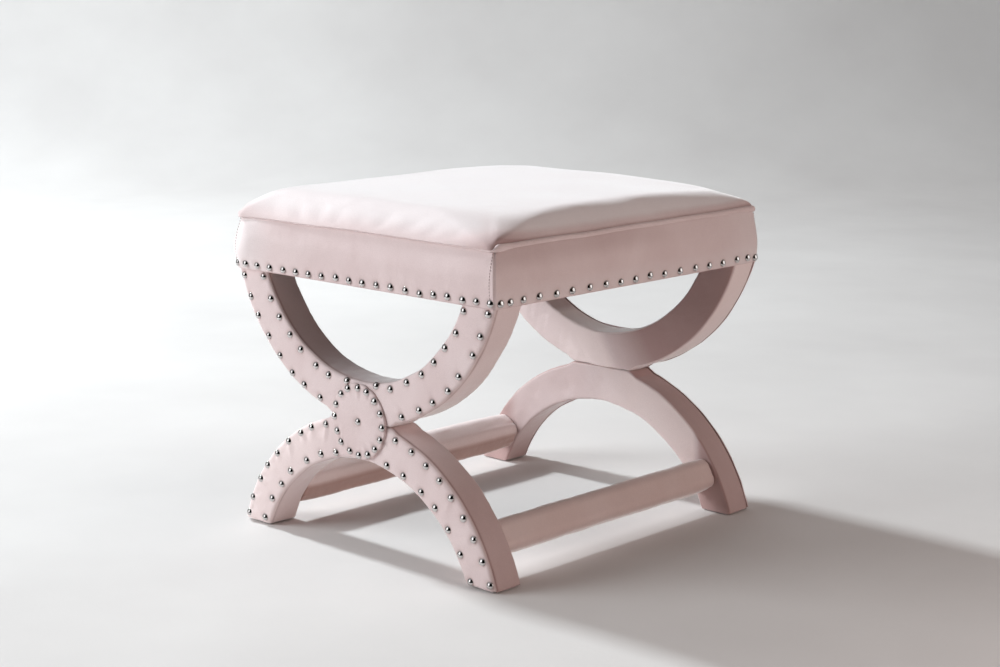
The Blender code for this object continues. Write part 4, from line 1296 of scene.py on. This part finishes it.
def area_light(name, towards, distance, size, power, colour, mirrored=False):
    light = bpy.data.lights.new(name, "AREA")
    light.shape = "RECTANGLE"
    light.size, light.size_y = size
    light.energy = power
    light.color = colour
    made = bpy.data.objects.new(name, light)
    way = Vector(towards).normalized()
    made.location = Vector((0, 0, 0.28)) + way * distance
    made.rotation_mode = "QUATERNION"
    made.rotation_quaternion = (-way).to_track_quat("-Z", "Y")
    made.visible_glossy = mirrored
    bpy.context.scene.collection.objects.link(made)


def facing_share(tree, where, way, start, end):
    """Share of the world round one direction."""
    lined = vectors(tree, "DOT_PRODUCT", "Value", where, tuple(Vector(way).normalized()))
    return levels(tree, lined, 0.0, 1.0, start, end)


def build_light():
    """Low key light from the left, a large window, weak fills, and a world that is warm away from the key."""
    turn, height = math.radians(2), math.radians(36.6)
    sun = Vector((-math.cos(turn), -math.sin(turn), math.tan(height))).normalized()
    area_light("key", sun, 5.4, (0.42, 0.42), 270.0, (0.90, 1.01, 1.055), mirrored=True)
    area_light("window", (-0.62, -0.76, 0.33), 4.2, (2.4, 1.8), 129.0, (0.935, 1.02, 1.055))
    area_light("above", (0.35, 0.1, 1.0), 3.0, (2.5, 2.5), 6.5, (1.0, 0.91, 0.86))
    area_light("fill", (1.0, 0.04, 0.10), 1.6, (1.0, 0.30), 3.6, (1.0, 0.87, 0.81))
    area_light("front", BACK + Vector((0, 0, 0.1)), 3.2, (2.0, 1.4), 3.0, (1.0, 0.89, 0.84))
    world = bpy.data.worlds.new("studio")
    bpy.context.scene.world = world
    world.use_nodes = True
    tree = world.node_tree
    shine = tree.nodes["Background"]
    where = node(tree, "ShaderNodeTexCoord").outputs["Generated"]
    path = node(tree, "ShaderNodeLightPath").outputs
    hazy = ramp(tree, facing_share(tree, where, sun, -1.0, 1.0),
                [(0.0, (0.46, 0.305, 0.240)), (0.55, (0.48, 0.360, 0.305)), (0.80, (0.80, 0.79, 0.79)),
                 (0.95, (1.5, 1.54, 1.58))])
    # Dark and bright patches of the world: direction, colour, where each starts and is full, mirrors only
    for way, colour, start, end, mirrors_only in (
            ((0.52, -0.85, 0.26), (0.012, 0.012, 0.012), 0.50, 0.66, False),
            ((0.75, 0.65, 0.40), (4.0, 3.72, 3.55), 0.935, 0.965, False),
            ((0.66, 0.70, 0.30), (5.0, 4.9, 4.8), 0.890, 0.930, True),
            ((-0.90, -0.36, 0.20), (0.03, 0.03, 0.03), 0.930, 0.960, True),
            ((-0.56, -0.74, 0.46), (6.0, 6.1, 6.2), 0.930, 0.960, True)):
        amount = facing_share(tree, where, way, start, end)
        if mirrors_only:
            amount = product(tree, amount, path["Is Glossy Ray"])
        hazy = blended(tree, hazy, colour, amount)
    tree.links.new(blended(tree, hazy, (2.2, 2.22, 2.25), path["Is Camera Ray"]), shine.inputs["Color"])
    shine.inputs["Strength"].default_value = 0.300


def build_camera():
    """View fitted to the seat's and the feet's corners."""
    lens = bpy.data.cameras.new("view")
    lens.sensor_fit = "HORIZONTAL"
    lens.sensor_width = 36.0
    lens.lens = 69.35
    made = bpy.data.objects.new("view", lens)
    made.location = (1.7786, -1.8665, 0.7559)
    made.rotation_mode = "QUATERNION"
    made.rotation_quaternion = (-BACK).to_track_quat("-Z", "Y")
    bpy.context.scene.collection.objects.link(made)
    bpy.context.scene.camera = made


build_stage()
build_light()
build_camera()
bpy.context.scene.view_settings.view_transform = "Standard"
